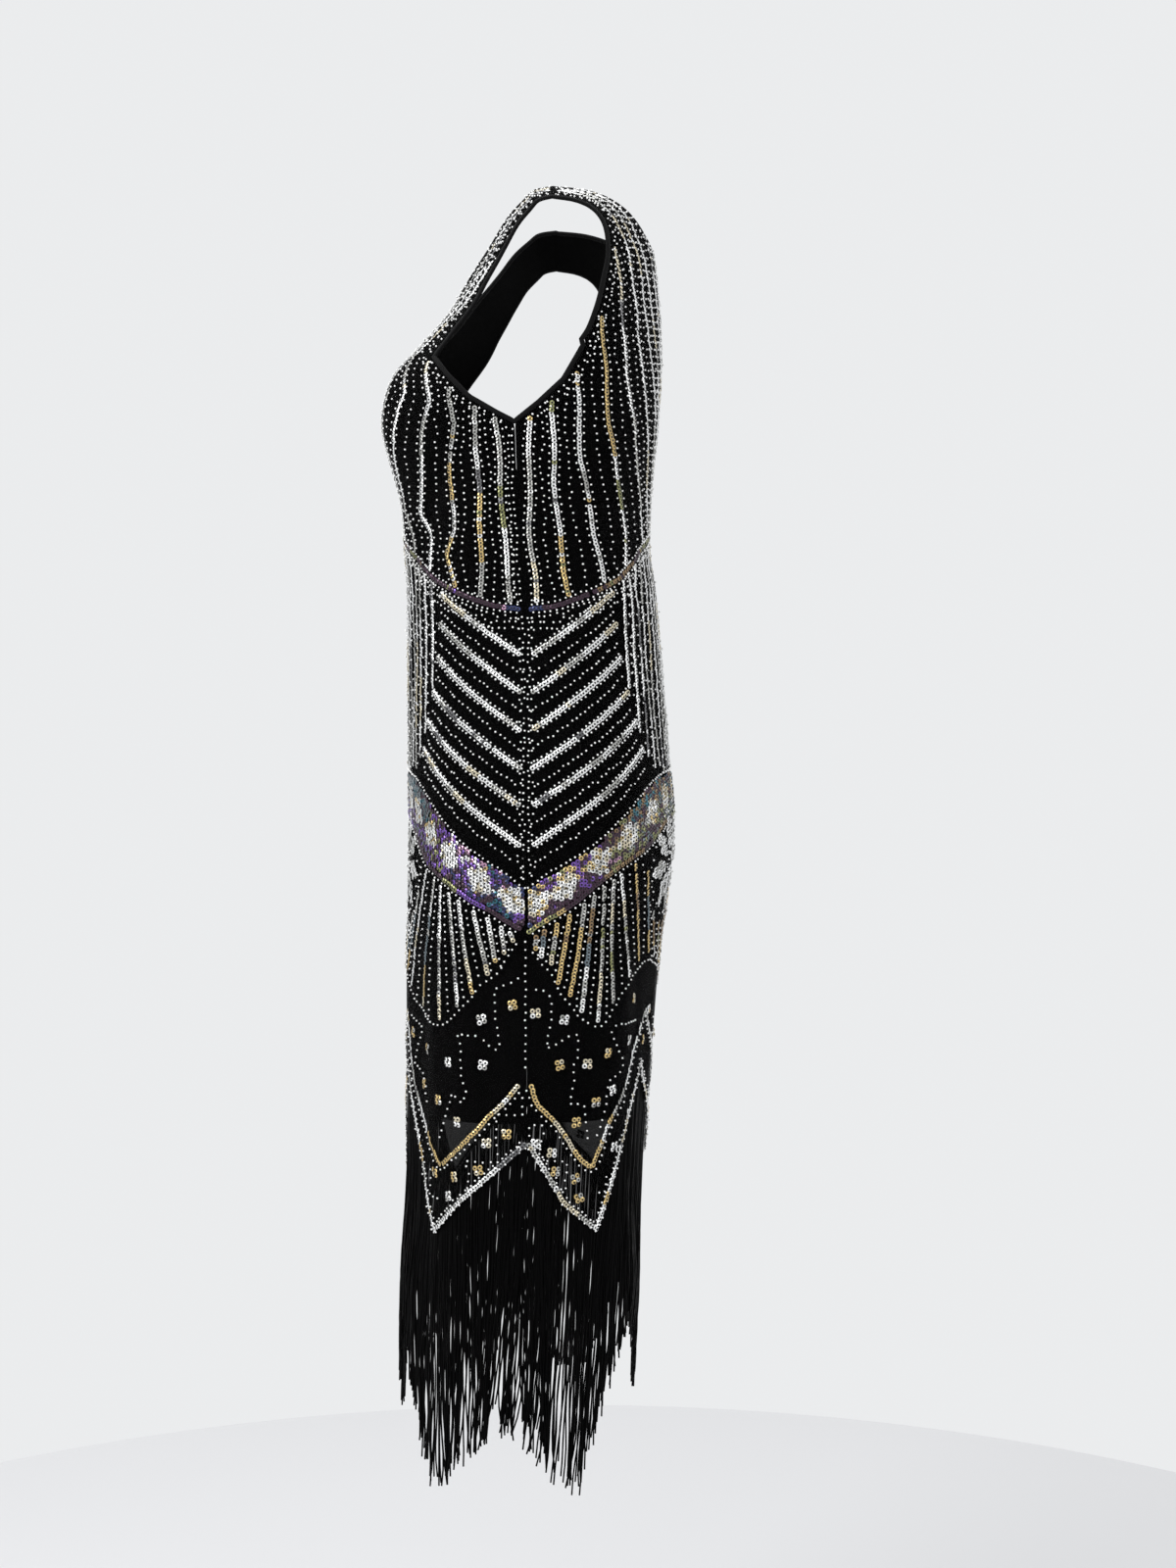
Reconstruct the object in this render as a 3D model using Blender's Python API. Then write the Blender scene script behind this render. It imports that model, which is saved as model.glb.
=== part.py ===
"""A sleeveless fringed dress of beaded net over a lining, hollow, hanging as it is worn.

Metres, +Z up. The dress faces -Y and the wearer's left side is at +X. The origin is midway between the
two shoulder seams, at the height of the shoulder line that carries the dress.

The figure is a stack of courses. A course is one ring round the dress, and each row of COURSES gives its
sizes. The place on a course is its lap: 0 at the centre front, 1 at the side seam and 2 at the centre
back, even by length along the cloth. Only the left half is worked out, and the right half mirrors it.
"""

import math

import bpy
import numpy as np

# Walls and gaps
NET_WALL = 0.0012
LINING_CLEARANCE = 0.0006
LINING_WALL = 0.0010
FRINGE_WALL = 0.0026
SEAM_GAP = 0.0003

# The figure: one row for each course, from the shoulder seam down to the tips of the fringe.
# height: z on the centre line; fall: drop for each metre of x; wide: half width at the side;
# side, front, back: y at the side seam, centre front and centre back; square: 2 is an ellipse.
COURSES = (
    (0.0425, 0.42, 0.172, 0.0000, 0.0000, 0.0000, 2.00),
    (0.0392, 0.42, 0.172, 0.0000, -0.0180, 0.0330, 2.00),
    (0.0286, 0.40, 0.172, 0.0000, -0.0286, 0.0585, 2.00),
    (0.0100, 0.37, 0.172, -0.0010, -0.0440, 0.0768, 2.00),
    (-0.0230, 0.30, 0.170, -0.0020, -0.0615, 0.0892, 2.00),
    (-0.0544, 0.22, 0.168, -0.0050, -0.0785, 0.0935, 2.00),
    (-0.0868, 0.14, 0.168, -0.0100, -0.0950, 0.0965, 2.00),
    (-0.1224, 0.07, 0.167, -0.0180, -0.1195, 0.0975, 2.10),
    (-0.1584, 0.02, 0.162, -0.0265, -0.1410, 0.0965, 2.40),
    (-0.1980, 0.00, 0.162, -0.0305, -0.1430, 0.0935, 2.70),
    (-0.2300, 0.00, 0.159, -0.0300, -0.1400, 0.0900, 2.70),
    (-0.2650, 0.00, 0.155, -0.0290, -0.1360, 0.0872, 2.60),
    (-0.3050, 0.00, 0.151, -0.0275, -0.1345, 0.0867, 2.50),
    (-0.3400, 0.00, 0.150, -0.0245, -0.1325, 0.0915, 2.40),
    (-0.4000, 0.00, 0.154, -0.0215, -0.1320, 0.0972, 2.35),
    (-0.4800, 0.00, 0.166, -0.0210, -0.1315, 0.1035, 2.30),
    (-0.5550, 0.00, 0.176, -0.0207, -0.1307, 0.1095, 2.30),
    (-0.6100, 0.00, 0.179, -0.0205, -0.1315, 0.1040, 2.30),
    (-0.6600, 0.00, 0.179, -0.0200, -0.1325, 0.0970, 2.30),
    (-0.7200, 0.00, 0.178, -0.0200, -0.1325, 0.0920, 2.30),
    (-0.8000, 0.00, 0.177, -0.0200, -0.1325, 0.0860, 2.30),
    (-0.8800, 0.00, 0.176, -0.0195, -0.1350, 0.0810, 2.30),
    (-0.9700, 0.00, 0.175, -0.0180, -0.1405, 0.0785, 2.30),
    (-1.1400, 0.00, 0.173, -0.0180, -0.1400, 0.0700, 2.30),
)
ROWS = np.array(COURSES)

# The bust fullness: its middle, its reach and how far the cloth stands out there
BUST_X, BUST_Z = 0.085, -0.195
BUST_REACH_X, BUST_REACH_Z = 0.045, 0.060
BUST_DEPTH = 0.014

# Soft folds: lap and half width in laps, top and bottom z, and how far the cloth stands out there
FOLDS = (
    (0.22, 0.10, -0.62, -0.92, 0.0012),
    (0.47, 0.09, -0.66, -0.95, -0.0035),
    (0.78, 0.09, -0.70, -0.94, 0.0030),
    (1.16, 0.08, -0.68, -0.95, -0.0030),
    (1.38, 0.08, -0.64, -0.94, 0.0035),
    (1.66, 0.10, -0.66, -0.95, -0.0030),
    (0.62, 0.10, -0.22, -0.36, -0.0025),
    (0.84, 0.08, -0.24, -0.40, 0.0020),
    (1.20, 0.10, -0.22, -0.38, -0.0025),
    (1.45, 0.10, -0.24, -0.40, 0.0020),
)
FOLD_EASE = 0.06

# The armholes' outline. The straps' edges are given from the front, as (z, x), down to where the
# curve under the arm starts, and that curve from the side, as (z, y), down to the side seam.
STRAP_FRONT = (
    (-0.0108, 0.1280),
    (-0.0350, 0.1210),
    (-0.0573, 0.1175),
    (-0.0859, 0.1185),
    (-0.1264, 0.1235),
    (-0.1540, 0.1285),
)
STRAP_BACK = (
    (-0.0108, 0.1280),
    (-0.0438, 0.1350),
    (-0.0732, 0.1410),
    (-0.1034, 0.1460),
    (-0.1420, 0.1535),
)
UNDERARM_FRONT = ((-0.1540, -0.1010), (-0.1700, -0.0900), (-0.1905, -0.0710), (-0.2045, -0.0475), (-0.2130, -0.0308))
UNDERARM_BACK = ((-0.1420, 0.0306), (-0.1755, 0.0120), (-0.1960, -0.0095), (-0.2130, -0.0308))
ARMHOLE_TOP, ARMHOLE_FOOT = STRAP_FRONT[0][0], UNDERARM_FRONT[-1][0]

# The neckline from the front, as (z, x) down the V, and the back scoop, a quarter of an ellipse
NECK_FRONT = ((0.0120, 0.0790), (-0.0300, 0.0660), (-0.0800, 0.0440), (-0.1300, 0.0185), (-0.1650, 0.0000))
NECK_FOOT = NECK_FRONT[-1][0]
SCOOP_HALF, SCOOP_TOP, SCOOP_DEPTH = 0.0790, 0.0100, 0.0460

# The hem, as (lap from the centre, z): a point, a notch, the long point and the side notch
HEM_FRONT = ((0.0, -0.870), (0.28, -0.765), (0.61, -0.900), (1.0, -0.819))
HEM_BACK = ((0.0, -0.853), (0.38, -0.762), (0.60, -0.828), (0.72, -0.8955), (0.86, -0.870), (1.0, -0.819))
LINING_HEM = -0.800
LINING_ABOVE_HEM = 0.006
FRINGE_BELOW_HEM = 0.0014
# The fringe, as (lap, length, how far its tips lean to the front in laps)
FRINGE = ((0.0, 0.213, 0.0), (0.6, 0.213, 0.0), (1.0, 0.228, 0.08), (1.28, 0.213, 0.07), (2.0, 0.213, 0.0))

# Bindings
BINDING_WIDTH = 0.0040
BINDING_WALL = NET_WALL + LINING_CLEARANCE + LINING_WALL
MITRE_LIMIT = 2.0

# The grid of each panel: heights of its rows on the centre line, and the widest step round it in laps
SHOULDER_ROWS = (0.0, 0.8, 1.6, 2.4)
FRONT_HEIGHTS = (-0.002, -0.030, -0.060, -0.092, -0.128, -0.150, NECK_FOOT, -0.180, -0.193, -0.204)
SCOOP_HEIGHTS = (-0.008, -0.020, -0.028, -0.0325, -0.0353, SCOOP_TOP - SCOOP_DEPTH)
BACK_HEIGHTS = SCOOP_HEIGHTS + (-0.060, -0.085, -0.115, -0.145, -0.166, -0.182, -0.195, -0.205)
SKIRT_HEIGHTS = (-0.240, -0.275, -0.315, -0.360, -0.415, -0.475, -0.535, -0.590, -0.645, -0.710)
HEM_ROWS = 3
WIDEST_STEP = 0.14
FRINGE_ROWS = 3
RING_POINTS = 181
QUARTER_ROUND = 0.21
BESIDE_SEAM = 0.003


def course(number):
    """The sizes of the course at a row number, which may lie between two rows of COURSES."""
    last = len(ROWS) - 1
    first = min(int(number), last - 1)
    t = number - first
    a, b, c, d = (ROWS[min(max(first + k, 0), last)] for k in (-1, 0, 1, 2))
    return 0.5 * (2 * b + (c - a) * t + (2 * a - 5 * b + 4 * c - d) * t**2 + (3 * b - a - 3 * c + d) * t**3)


NUMBERS = np.arange(0, len(ROWS) - 1, 0.02)
DROPS = np.array([-course(number)[0] for number in NUMBERS])


def course_at(height):
    """The row number of the level course at a height."""
    return float(np.interp(-height, DROPS, NUMBERS))


def laps_of(x, y):
    """The lap of each point of a ring: 0 to 1 over its front half and 1 to 2 over its back half."""
    run = np.concatenate(([0.0], np.cumsum(np.hypot(np.diff(x), np.diff(y)))))
    side = run[len(run) // 2]
    return np.where(run <= side, run / side, 1 + (run - side) / (run[-1] - side))


def fold_depth(lap, z):
    """How far the folds move the cloth out at each point."""
    out = np.zeros_like(lap)
    for middle, half, top, foot, depth in FOLDS:
        across = np.exp(-(((lap - middle) / half) ** 2))
        down = np.clip((top - z) / FOLD_EASE, 0, 1) * np.clip((z - foot) / FOLD_EASE, 0, 1)
        out += depth * across * down
    return out


def ring(number):
    """The left half of a course as points with their laps, from centre front to centre back."""
    height, fall, wide, side, front, back, square = course(number)
    turn = np.linspace(0, math.pi, RING_POINTS)
    across = np.sin(turn).clip(0) ** (2 / square)
    along = np.abs(np.cos(turn)) ** (2 / square)
    is_front = turn < math.pi / 2
    x = wide * across
    y = side + (np.where(is_front, front, back) - side) * along
    z = height - fall * x
    bust = np.exp(-(((x - BUST_X) / BUST_REACH_X) ** 2) - ((z - BUST_Z) / BUST_REACH_Z) ** 2)
    y -= np.where(is_front, BUST_DEPTH * bust * along, 0)
    lap = laps_of(x, y)
    away = np.stack([np.gradient(y), -np.gradient(x)], 1)
    away /= np.linalg.norm(away, axis=1)[:, None].clip(1e-12)
    moved = fold_depth(lap, z)
    x = x + away[:, 0] * moved
    y = y + away[:, 1] * moved
    x[0] = x[-1] = 0
    return lap, np.stack([x, y, z], 1)


rings = {}


def point(lap, number):
    """The outer face of the net at a lap and a row number. Row -1 is row 1 beyond the shoulder seam."""
    if number < 0:
        return point(2 - lap, -number)
    if lap < 0 or lap > 2:
        x, y, z = point(-lap if lap < 0 else 4 - lap, number)
        return np.array([-x, y, z])
    key = round(number, 6)
    if key not in rings:
        rings[key] = ring(key)
    laps, points = rings[key]
    return np.array([np.interp(lap, laps, points[:, k]) for k in range(3)])


def normal(lap, number):
    """The direction out of the cloth. Beside a seam it is the seam's own, so both its pieces share it."""
    step = 0.02
    lap = 1.0 if abs(lap - 1) < BESIDE_SEAM else lap
    number = 0.0 if number < BESIDE_SEAM * 10 else number
    down = point(lap, number + step) - point(lap, number - step)
    round_it = point(lap + step, number) - point(lap - step, number)
    out = np.cross(down, round_it)
    return out / np.linalg.norm(out)


def hem(lap, corners):
    """The height of the hem at a lap counted from the centre of its panel."""
    laps, heights = zip(*corners)
    return float(np.interp(lap, laps, heights))


def crossing(laps, keep, from_centre):
    """The lap where a course leaves the kept cloth, found between its samples."""
    order = range(len(laps)) if from_centre else range(len(laps) - 1, -1, -1)
    previous = None
    for i in order:
        if keep[i] >= 0:
            if previous is None:
                return laps[i]
            share = keep[i] / (keep[i] - keep[previous])
            return laps[i] + share * (laps[previous] - laps[i])
        previous = i
    raise ValueError("no cloth on this course")


def outline(table):
    """An outline table as drops, which rise, and the x or y at each."""
    heights, edges = zip(*table)
    return -np.array(heights), edges


def ends_of(number, is_back):
    """The laps, counted from the panel's centre, between which a course of that panel has cloth."""
    all_laps, at = ring(number)
    half = all_laps >= 1 if is_back else all_laps <= 1
    laps = 2 - all_laps[half][::-1] if is_back else all_laps[half]
    x, y, z = (at[half][::-1] if is_back else at[half]).T
    if is_back:
        depth = ((SCOOP_TOP - z) / SCOOP_DEPTH).clip(0, 1)
        neck = np.where(z > SCOOP_TOP - SCOOP_DEPTH, x - SCOOP_HALF * np.sqrt(1 - depth**2), 1)
    else:
        neck = np.where(z > NECK_FOOT, x - np.interp(-z, *outline(NECK_FRONT)), 1)
    strap, underarm = (STRAP_BACK, UNDERARM_BACK) if is_back else (STRAP_FRONT, UNDERARM_FRONT)
    inside_strap = np.interp(-z, *outline(strap)) - x
    above_curve = (np.interp(-z, *outline(underarm)) - y) * (-1 if is_back else 1)
    on_strap = z > strap[-1][0]
    armhole = np.where(on_strap, inside_strap, np.maximum(above_curve, ARMHOLE_FOOT - z))
    inner = crossing(laps, neck, True)
    outer = crossing(laps, np.where(laps < inner, 1, armhole), False)
    return inner, outer


def columns_of(corners):
    """The grid's columns as shares from centre to side, with one on each corner of the hem."""
    stops = [lap for lap, _ in corners]
    shares = []
    for a, b in zip(stops[:-1], stops[1:]):
        shares.append(np.linspace(a, b, math.ceil((b - a) / WIDEST_STEP), endpoint=False))
    return np.concatenate(shares + [[1.0]])


def panel_rows(is_back):
    """The row numbers of a panel down to its hem zone, with one at the foot of the neck and armhole."""
    heights = (BACK_HEIGHTS if is_back else FRONT_HEIGHTS) + (ARMHOLE_FOOT,) + SKIRT_HEIGHTS
    return list(SHOULDER_ROWS) + [course_at(z) for z in heights]


def panel_places(is_back, hem_of):
    """The places of a half panel, as a grid of laps and a grid of row numbers."""
    corners = HEM_BACK if is_back else HEM_FRONT
    shares = columns_of(corners)
    seam = SEAM_GAP / 2 / QUARTER_ROUND
    laps, numbers = [], []
    for number in panel_rows(is_back):
        inner, outer = ends_of(number, is_back)
        laps.append(inner + shares * (min(outer, 1 - seam) - inner))
        numbers.append(np.full(len(shares), number))
    top = SKIRT_HEIGHTS[-1]
    for k in range(1, HEM_ROWS + 1):
        laps.append(shares * (1 - seam))
        numbers.append([course_at(top + (hem_of(s) - top) * k / HEM_ROWS) for s in shares])
    laps, numbers = np.array(laps), np.array(numbers)
    laps = 2 - laps if is_back else laps
    middle = laps[0].mean()
    step = 0.01
    numbers[0] += step * SEAM_GAP / 2 / np.linalg.norm(point(middle, step) - point(middle, 0))
    return laps, numbers


def place(laps, numbers, depth):
    """The points of a grid, moved in from the net's outer face by a depth."""
    at = np.empty(laps.shape + (3,))
    for i in np.ndindex(laps.shape):
        at[i] = point(laps[i], numbers[i]) - depth * normal(laps[i], numbers[i])
    return at


def material(name, colour, roughness):
    made = bpy.data.materials.new(name)
    made.use_nodes = True
    shader = made.node_tree.nodes["Principled BSDF"]
    shader.inputs["Base Color"].default_value = (*colour, 1)
    shader.inputs["Roughness"].default_value = roughness
    shader.inputs["Metallic"].default_value = 0.0
    made.diffuse_color = (*colour, 1)
    return made


def wall(name, outer, inner, faces, finish):
    """One closed solid between two sheets with the same faces, with a rim along their free edges."""
    count = len(outer)
    edges = {}
    for face in faces:
        for a, b in zip(face, face[1:] + face[:1]):
            edges[(a, b)] = edges.get((a, b), 0) + 1
    rim = [(b, a, a + count, b + count) for a, b in edges if (b, a) not in edges]
    back = [tuple(i + count for i in reversed(face)) for face in faces]
    mesh = bpy.data.meshes.new(name)
    mesh.from_pydata([tuple(p) for p in np.concatenate([outer, inner])], [], faces + back + rim)
    mesh.validate()
    mesh.shade_smooth()
    mesh.set_sharp_from_angle(angle=math.radians(50))
    piece = bpy.data.objects.new(name, mesh)
    piece.data.materials.append(finish)
    bpy.context.scene.collection.objects.link(piece)
    return piece


def mirrored(half):
    return half * np.array([-1.0, 1.0, 1.0])


def sheet(name, half_outer, half_inner, is_back, finish):
    """A wall from a half grid and its mirror image, sharing the points that lie on the centre line."""
    rows, columns = half_outer.shape[:2]
    at, index, points, inner_points = {}, np.empty((2, rows, columns), int), [], []
    for side in (0, 1):
        for r in range(rows):
            for c in range(columns):
                p = half_outer[r, c] if side == 0 else mirrored(half_outer[r, c])
                q = half_inner[r, c] if side == 0 else mirrored(half_inner[r, c])
                on_centre = c == 0 and abs(p[0]) < 1e-6
                if side == 1 and on_centre:
                    index[side, r, c] = index[0, r, c]
                    continue
                index[side, r, c] = len(points)
                points.append(p)
                inner_points.append(q)
    faces = []
    for side in (0, 1):
        for r in range(rows - 1):
            for c in range(columns - 1):
                a, b = index[side, r, c : c + 2]
                d, e = index[side, r + 1, c : c + 2]
                turned = (side == 1) != is_back
                for face in ((a, d, e), (a, e, b)):
                    faces.append(tuple(int(i) for i in (reversed(face) if turned else face)))
    return wall(name, np.array(points), np.array(inner_points), faces, finish)


def panel(name, is_back, depth, thickness, hem_of, finish):
    laps, numbers = panel_places(is_back, hem_of)
    return sheet(name, place(laps, numbers, depth), place(laps, numbers, depth + thickness), is_back, finish)


def fringe(name, is_back, finish):
    """The reach of the fringe: a wall that hangs from just under the hem."""
    corners = HEM_BACK if is_back else HEM_FRONT
    shares = columns_of(corners)
    seam = SEAM_GAP / 2 / QUARTER_ROUND
    laps = shares * (1 - seam)
    laps = 2 - laps if is_back else laps
    table_laps, lengths, leans = zip(*FRINGE)
    length = np.interp(laps, table_laps, lengths)
    hems = np.array([hem(s, corners) for s in shares])
    down = np.linspace(0, 1, FRINGE_ROWS + 1)[:, None]
    heights = hems - FRINGE_BELOW_HEM - (length - FRINGE_BELOW_HEM) * down
    laps = laps - np.interp(laps, table_laps, leans) * down
    numbers = np.vectorize(course_at)(heights)
    return sheet(name, place(laps, numbers, 0), place(laps, numbers, FRINGE_WALL), is_back, finish)


def edge_of(is_back, outer_end):
    """The neck or armhole edge of a half panel, from the shoulder seam to its foot, as laps and rows."""
    foot = 1.0 if outer_end else 0.0
    found = []
    for number in panel_rows(is_back):
        inner, outer = ends_of(number, is_back)
        lap = outer if outer_end else inner
        at_foot = abs(lap - foot) < BESIDE_SEAM
        found.append((foot if at_foot else lap, number))
        if at_foot:
            break
    return [(2 - lap if is_back else lap, number) for lap, number in found]


def binding(name, loop, hole, finish):
    """A closed strip beside an edge, on the side of a point in the middle of the hole it runs round."""
    at = np.array([p for p, _ in loop])
    out = np.array([n for _, n in loop])
    ahead = np.roll(at, -1, 0) - at
    ahead /= np.linalg.norm(ahead, axis=1)[:, None]
    behind = np.roll(ahead, 1, 0)
    along = ahead + behind
    along /= np.linalg.norm(along, axis=1)[:, None]
    into = np.cross(out, along)
    into /= np.linalg.norm(into, axis=1)[:, None]
    if np.mean(np.sum(into * (hole - at), axis=1)) < 0:
        into = -into
    mitre = 1 / np.clip(np.sum(along * ahead, axis=1), 1 / MITRE_LIMIT, 1)
    corners = []
    for reach, depth in ((0, 0), (1, 0), (1, 1), (0, 1)):
        sideways = SEAM_GAP + reach * BINDING_WIDTH
        corners.append(at + into * (sideways * mitre)[:, None] - out * (depth * BINDING_WALL))
    count = len(at)
    faces = []
    for i in range(count):
        j = (i + 1) % count
        for k in range(4):
            m = (k + 1) % 4
            faces.append((k * count + i, k * count + j, m * count + j, m * count + i))
    mesh = bpy.data.meshes.new(name)
    mesh.from_pydata([tuple(p) for p in np.concatenate(corners)], [], faces)
    mesh.validate()
    volume = sum(np.dot(at_a, np.cross(at_b, at_c)) for at_a, at_b, at_c in triangles_of(mesh))
    if volume < 0:
        mesh.flip_normals()
    mesh.shade_smooth()
    mesh.set_sharp_from_angle(angle=math.radians(40))
    piece = bpy.data.objects.new(name, mesh)
    piece.data.materials.append(finish)
    bpy.context.scene.collection.objects.link(piece)
    return piece


def triangles_of(mesh):
    mesh.calc_loop_triangles()
    for triangle in mesh.loop_triangles:
        yield [np.array(mesh.vertices[i].co) for i in triangle.vertices]


def with_normals(places):
    return [(point(lap, number), normal(lap, number)) for lap, number in places]


def flipped(loop):
    return [(mirrored(p), mirrored(n)) for p, n in loop]


def neck_loop():
    """Down the left of the V, up its right, and over the right shoulder round the back scoop."""
    front = with_normals(edge_of(False, False))
    back = with_normals(edge_of(True, False))
    left = front[::-1] + back[1:]
    return left + flipped(left[1:-1])[::-1]


def armhole_loop():
    """Down the front edge of the left armhole and up its back edge."""
    front = with_normals(edge_of(False, True))
    back = with_normals(edge_of(True, True))
    return front + back[-2:0:-1]


def build():
    for old in list(bpy.data.objects):
        bpy.data.objects.remove(old, do_unlink=True)
    net = material("beaded_net", (0.012, 0.012, 0.014), 0.7)
    cloth = material("lining_cloth", (0.010, 0.010, 0.011), 0.6)
    tape = material("binding_tape", (0.014, 0.014, 0.015), 0.65)
    cord = material("fringe_cord", (0.011, 0.011, 0.012), 0.45)
    for name, is_back in (("front", False), ("back", True)):
        corners = HEM_BACK if is_back else HEM_FRONT
        panel(f"{name}_panel", is_back, 0, NET_WALL, lambda lap: hem(lap, corners), net)
        panel(
            f"{name}_lining",
            is_back,
            NET_WALL + LINING_CLEARANCE,
            LINING_WALL,
            lambda lap: max(LINING_HEM, hem(lap, corners) + LINING_ABOVE_HEM),
            cloth,
        )
        fringe(f"fringe_{name}", is_back, cord)
    binding("neck_binding", neck_loop(), np.array([0.0, 0.0, 0.0]), tape)
    hole = np.array([0.14, -0.01, -0.11])
    binding("armhole_binding_left", armhole_loop(), hole, tape)
    binding("armhole_binding_right", flipped(armhole_loop()), mirrored(hole), tape)


build()
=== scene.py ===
# %% [markdown]
# # A fringed evening dress of beaded net
# The dress hangs as it is worn, hollow, with nobody in it. A black net carries all the beads and sequins,
# a black jersey lining hangs inside it, and a long cord fringe hangs from its zigzag hem. The packed CAD
# model is the frame: it gives the size, and each piece made here stands for one of its solids.

# %% Load the frame
import math

import bmesh
import bpy
import numpy as np
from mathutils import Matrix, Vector


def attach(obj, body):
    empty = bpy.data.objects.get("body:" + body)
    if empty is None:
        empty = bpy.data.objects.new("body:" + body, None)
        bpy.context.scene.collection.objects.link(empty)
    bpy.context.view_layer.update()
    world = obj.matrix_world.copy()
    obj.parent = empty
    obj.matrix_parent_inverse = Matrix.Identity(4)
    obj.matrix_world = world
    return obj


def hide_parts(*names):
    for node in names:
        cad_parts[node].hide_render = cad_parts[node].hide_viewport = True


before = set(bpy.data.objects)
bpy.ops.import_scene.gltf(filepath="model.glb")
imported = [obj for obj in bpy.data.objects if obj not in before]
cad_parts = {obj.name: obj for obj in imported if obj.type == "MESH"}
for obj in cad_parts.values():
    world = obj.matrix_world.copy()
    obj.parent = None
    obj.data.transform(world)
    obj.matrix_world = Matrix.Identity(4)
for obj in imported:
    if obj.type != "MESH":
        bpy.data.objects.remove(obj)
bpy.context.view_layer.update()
print("nodes:", ", ".join(sorted(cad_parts)))

# %% [markdown]
# ## The figure
# On the real dress the net and the lining are cut flat and sewn, and the body inside gives them their
# form. A sculpted mesh could follow that form, but then every bead row would have to be laid on it by
# hand. So the form is a rule instead: a stack of rings, called courses, each given by a few sizes. A place
# on the cloth is then two numbers, a turn round the dress and a course number, and each bead row is a line
# in those two numbers.

# %% Sizes of the figure, the same as in the CAD source
# height: z on the centre line; fall: drop for each metre of x; wide: half width at the side;
# side, front, back: y at the side seam, centre front and centre back; square: 2 is an ellipse
COURSES = (
    (0.0425, 0.42, 0.172, 0.0000, 0.0000, 0.0000, 2.00),
    (0.0392, 0.42, 0.172, 0.0000, -0.0180, 0.0330, 2.00),
    (0.0286, 0.40, 0.172, 0.0000, -0.0286, 0.0585, 2.00),
    (0.0100, 0.37, 0.172, -0.0010, -0.0440, 0.0768, 2.00),
    (-0.0230, 0.30, 0.170, -0.0020, -0.0615, 0.0892, 2.00),
    (-0.0544, 0.22, 0.168, -0.0050, -0.0785, 0.0935, 2.00),
    (-0.0868, 0.14, 0.168, -0.0100, -0.0950, 0.0965, 2.00),
    (-0.1224, 0.07, 0.167, -0.0180, -0.1195, 0.0975, 2.10),
    (-0.1584, 0.02, 0.162, -0.0265, -0.1410, 0.0965, 2.40),
    (-0.1980, 0.00, 0.162, -0.0305, -0.1430, 0.0935, 2.70),
    (-0.2300, 0.00, 0.159, -0.0300, -0.1400, 0.0900, 2.70),
    (-0.2650, 0.00, 0.155, -0.0290, -0.1360, 0.0872, 2.60),
    (-0.3050, 0.00, 0.151, -0.0275, -0.1345, 0.0867, 2.50),
    (-0.3400, 0.00, 0.150, -0.0245, -0.1325, 0.0915, 2.40),
    (-0.4000, 0.00, 0.154, -0.0215, -0.1320, 0.0972, 2.35),
    (-0.4800, 0.00, 0.166, -0.0210, -0.1315, 0.1035, 2.30),
    (-0.5550, 0.00, 0.176, -0.0207, -0.1307, 0.1095, 2.30),
    (-0.6100, 0.00, 0.179, -0.0205, -0.1315, 0.1040, 2.30),
    (-0.6600, 0.00, 0.179, -0.0200, -0.1325, 0.0970, 2.30),
    (-0.7200, 0.00, 0.178, -0.0200, -0.1325, 0.0920, 2.30),
    (-0.8000, 0.00, 0.177, -0.0200, -0.1325, 0.0860, 2.30),
    (-0.8800, 0.00, 0.176, -0.0195, -0.1350, 0.0810, 2.30),
    (-0.9700, 0.00, 0.175, -0.0180, -0.1405, 0.0785, 2.30),
    (-1.1400, 0.00, 0.173, -0.0180, -0.1400, 0.0700, 2.30),
)
BUST_X, BUST_Z = 0.085, -0.195
BUST_REACH_X, BUST_REACH_Z = 0.045, 0.060
BUST_DEPTH = 0.014
NET_WALL = 0.0012
LINING_CLEARANCE = 0.0006
SEAM_GAP = 0.0003
print("courses of the figure:", len(COURSES))

# %% [markdown]
# ## Folds and creases
# Cloth that hangs on a figure is never quite smooth: the skirt falls in shallow folds, and the waist drags
# into slanting creases towards the side seams. Each one here is a soft ridge or trough, a long bell shape
# laid on the cloth at a slant, and the left and right sides have their own. A cloth simulation would give
# such folds too, but it would also shift the bead rows that have to follow the figure.

# %% Folds that both sides share
# lap and half width in laps, top and foot z, and how far the cloth stands out
FOLDS = (
    (0.22, 0.10, -0.62, -0.92, 0.0012),
    (0.47, 0.09, -0.66, -0.95, -0.0035),
    (0.78, 0.09, -0.70, -0.94, 0.0030),
    (1.16, 0.08, -0.68, -0.95, -0.0030),
    (1.38, 0.08, -0.64, -0.94, 0.0035),
    (1.66, 0.10, -0.66, -0.95, -0.0030),
    (0.62, 0.10, -0.22, -0.36, -0.0025),
    (0.84, 0.08, -0.24, -0.40, 0.0020),
    (1.20, 0.10, -0.22, -0.38, -0.0025),
    (1.45, 0.10, -0.24, -0.40, 0.0020),
)
FOLD_EASE = 0.06
print("folds:", len(FOLDS))

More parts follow.
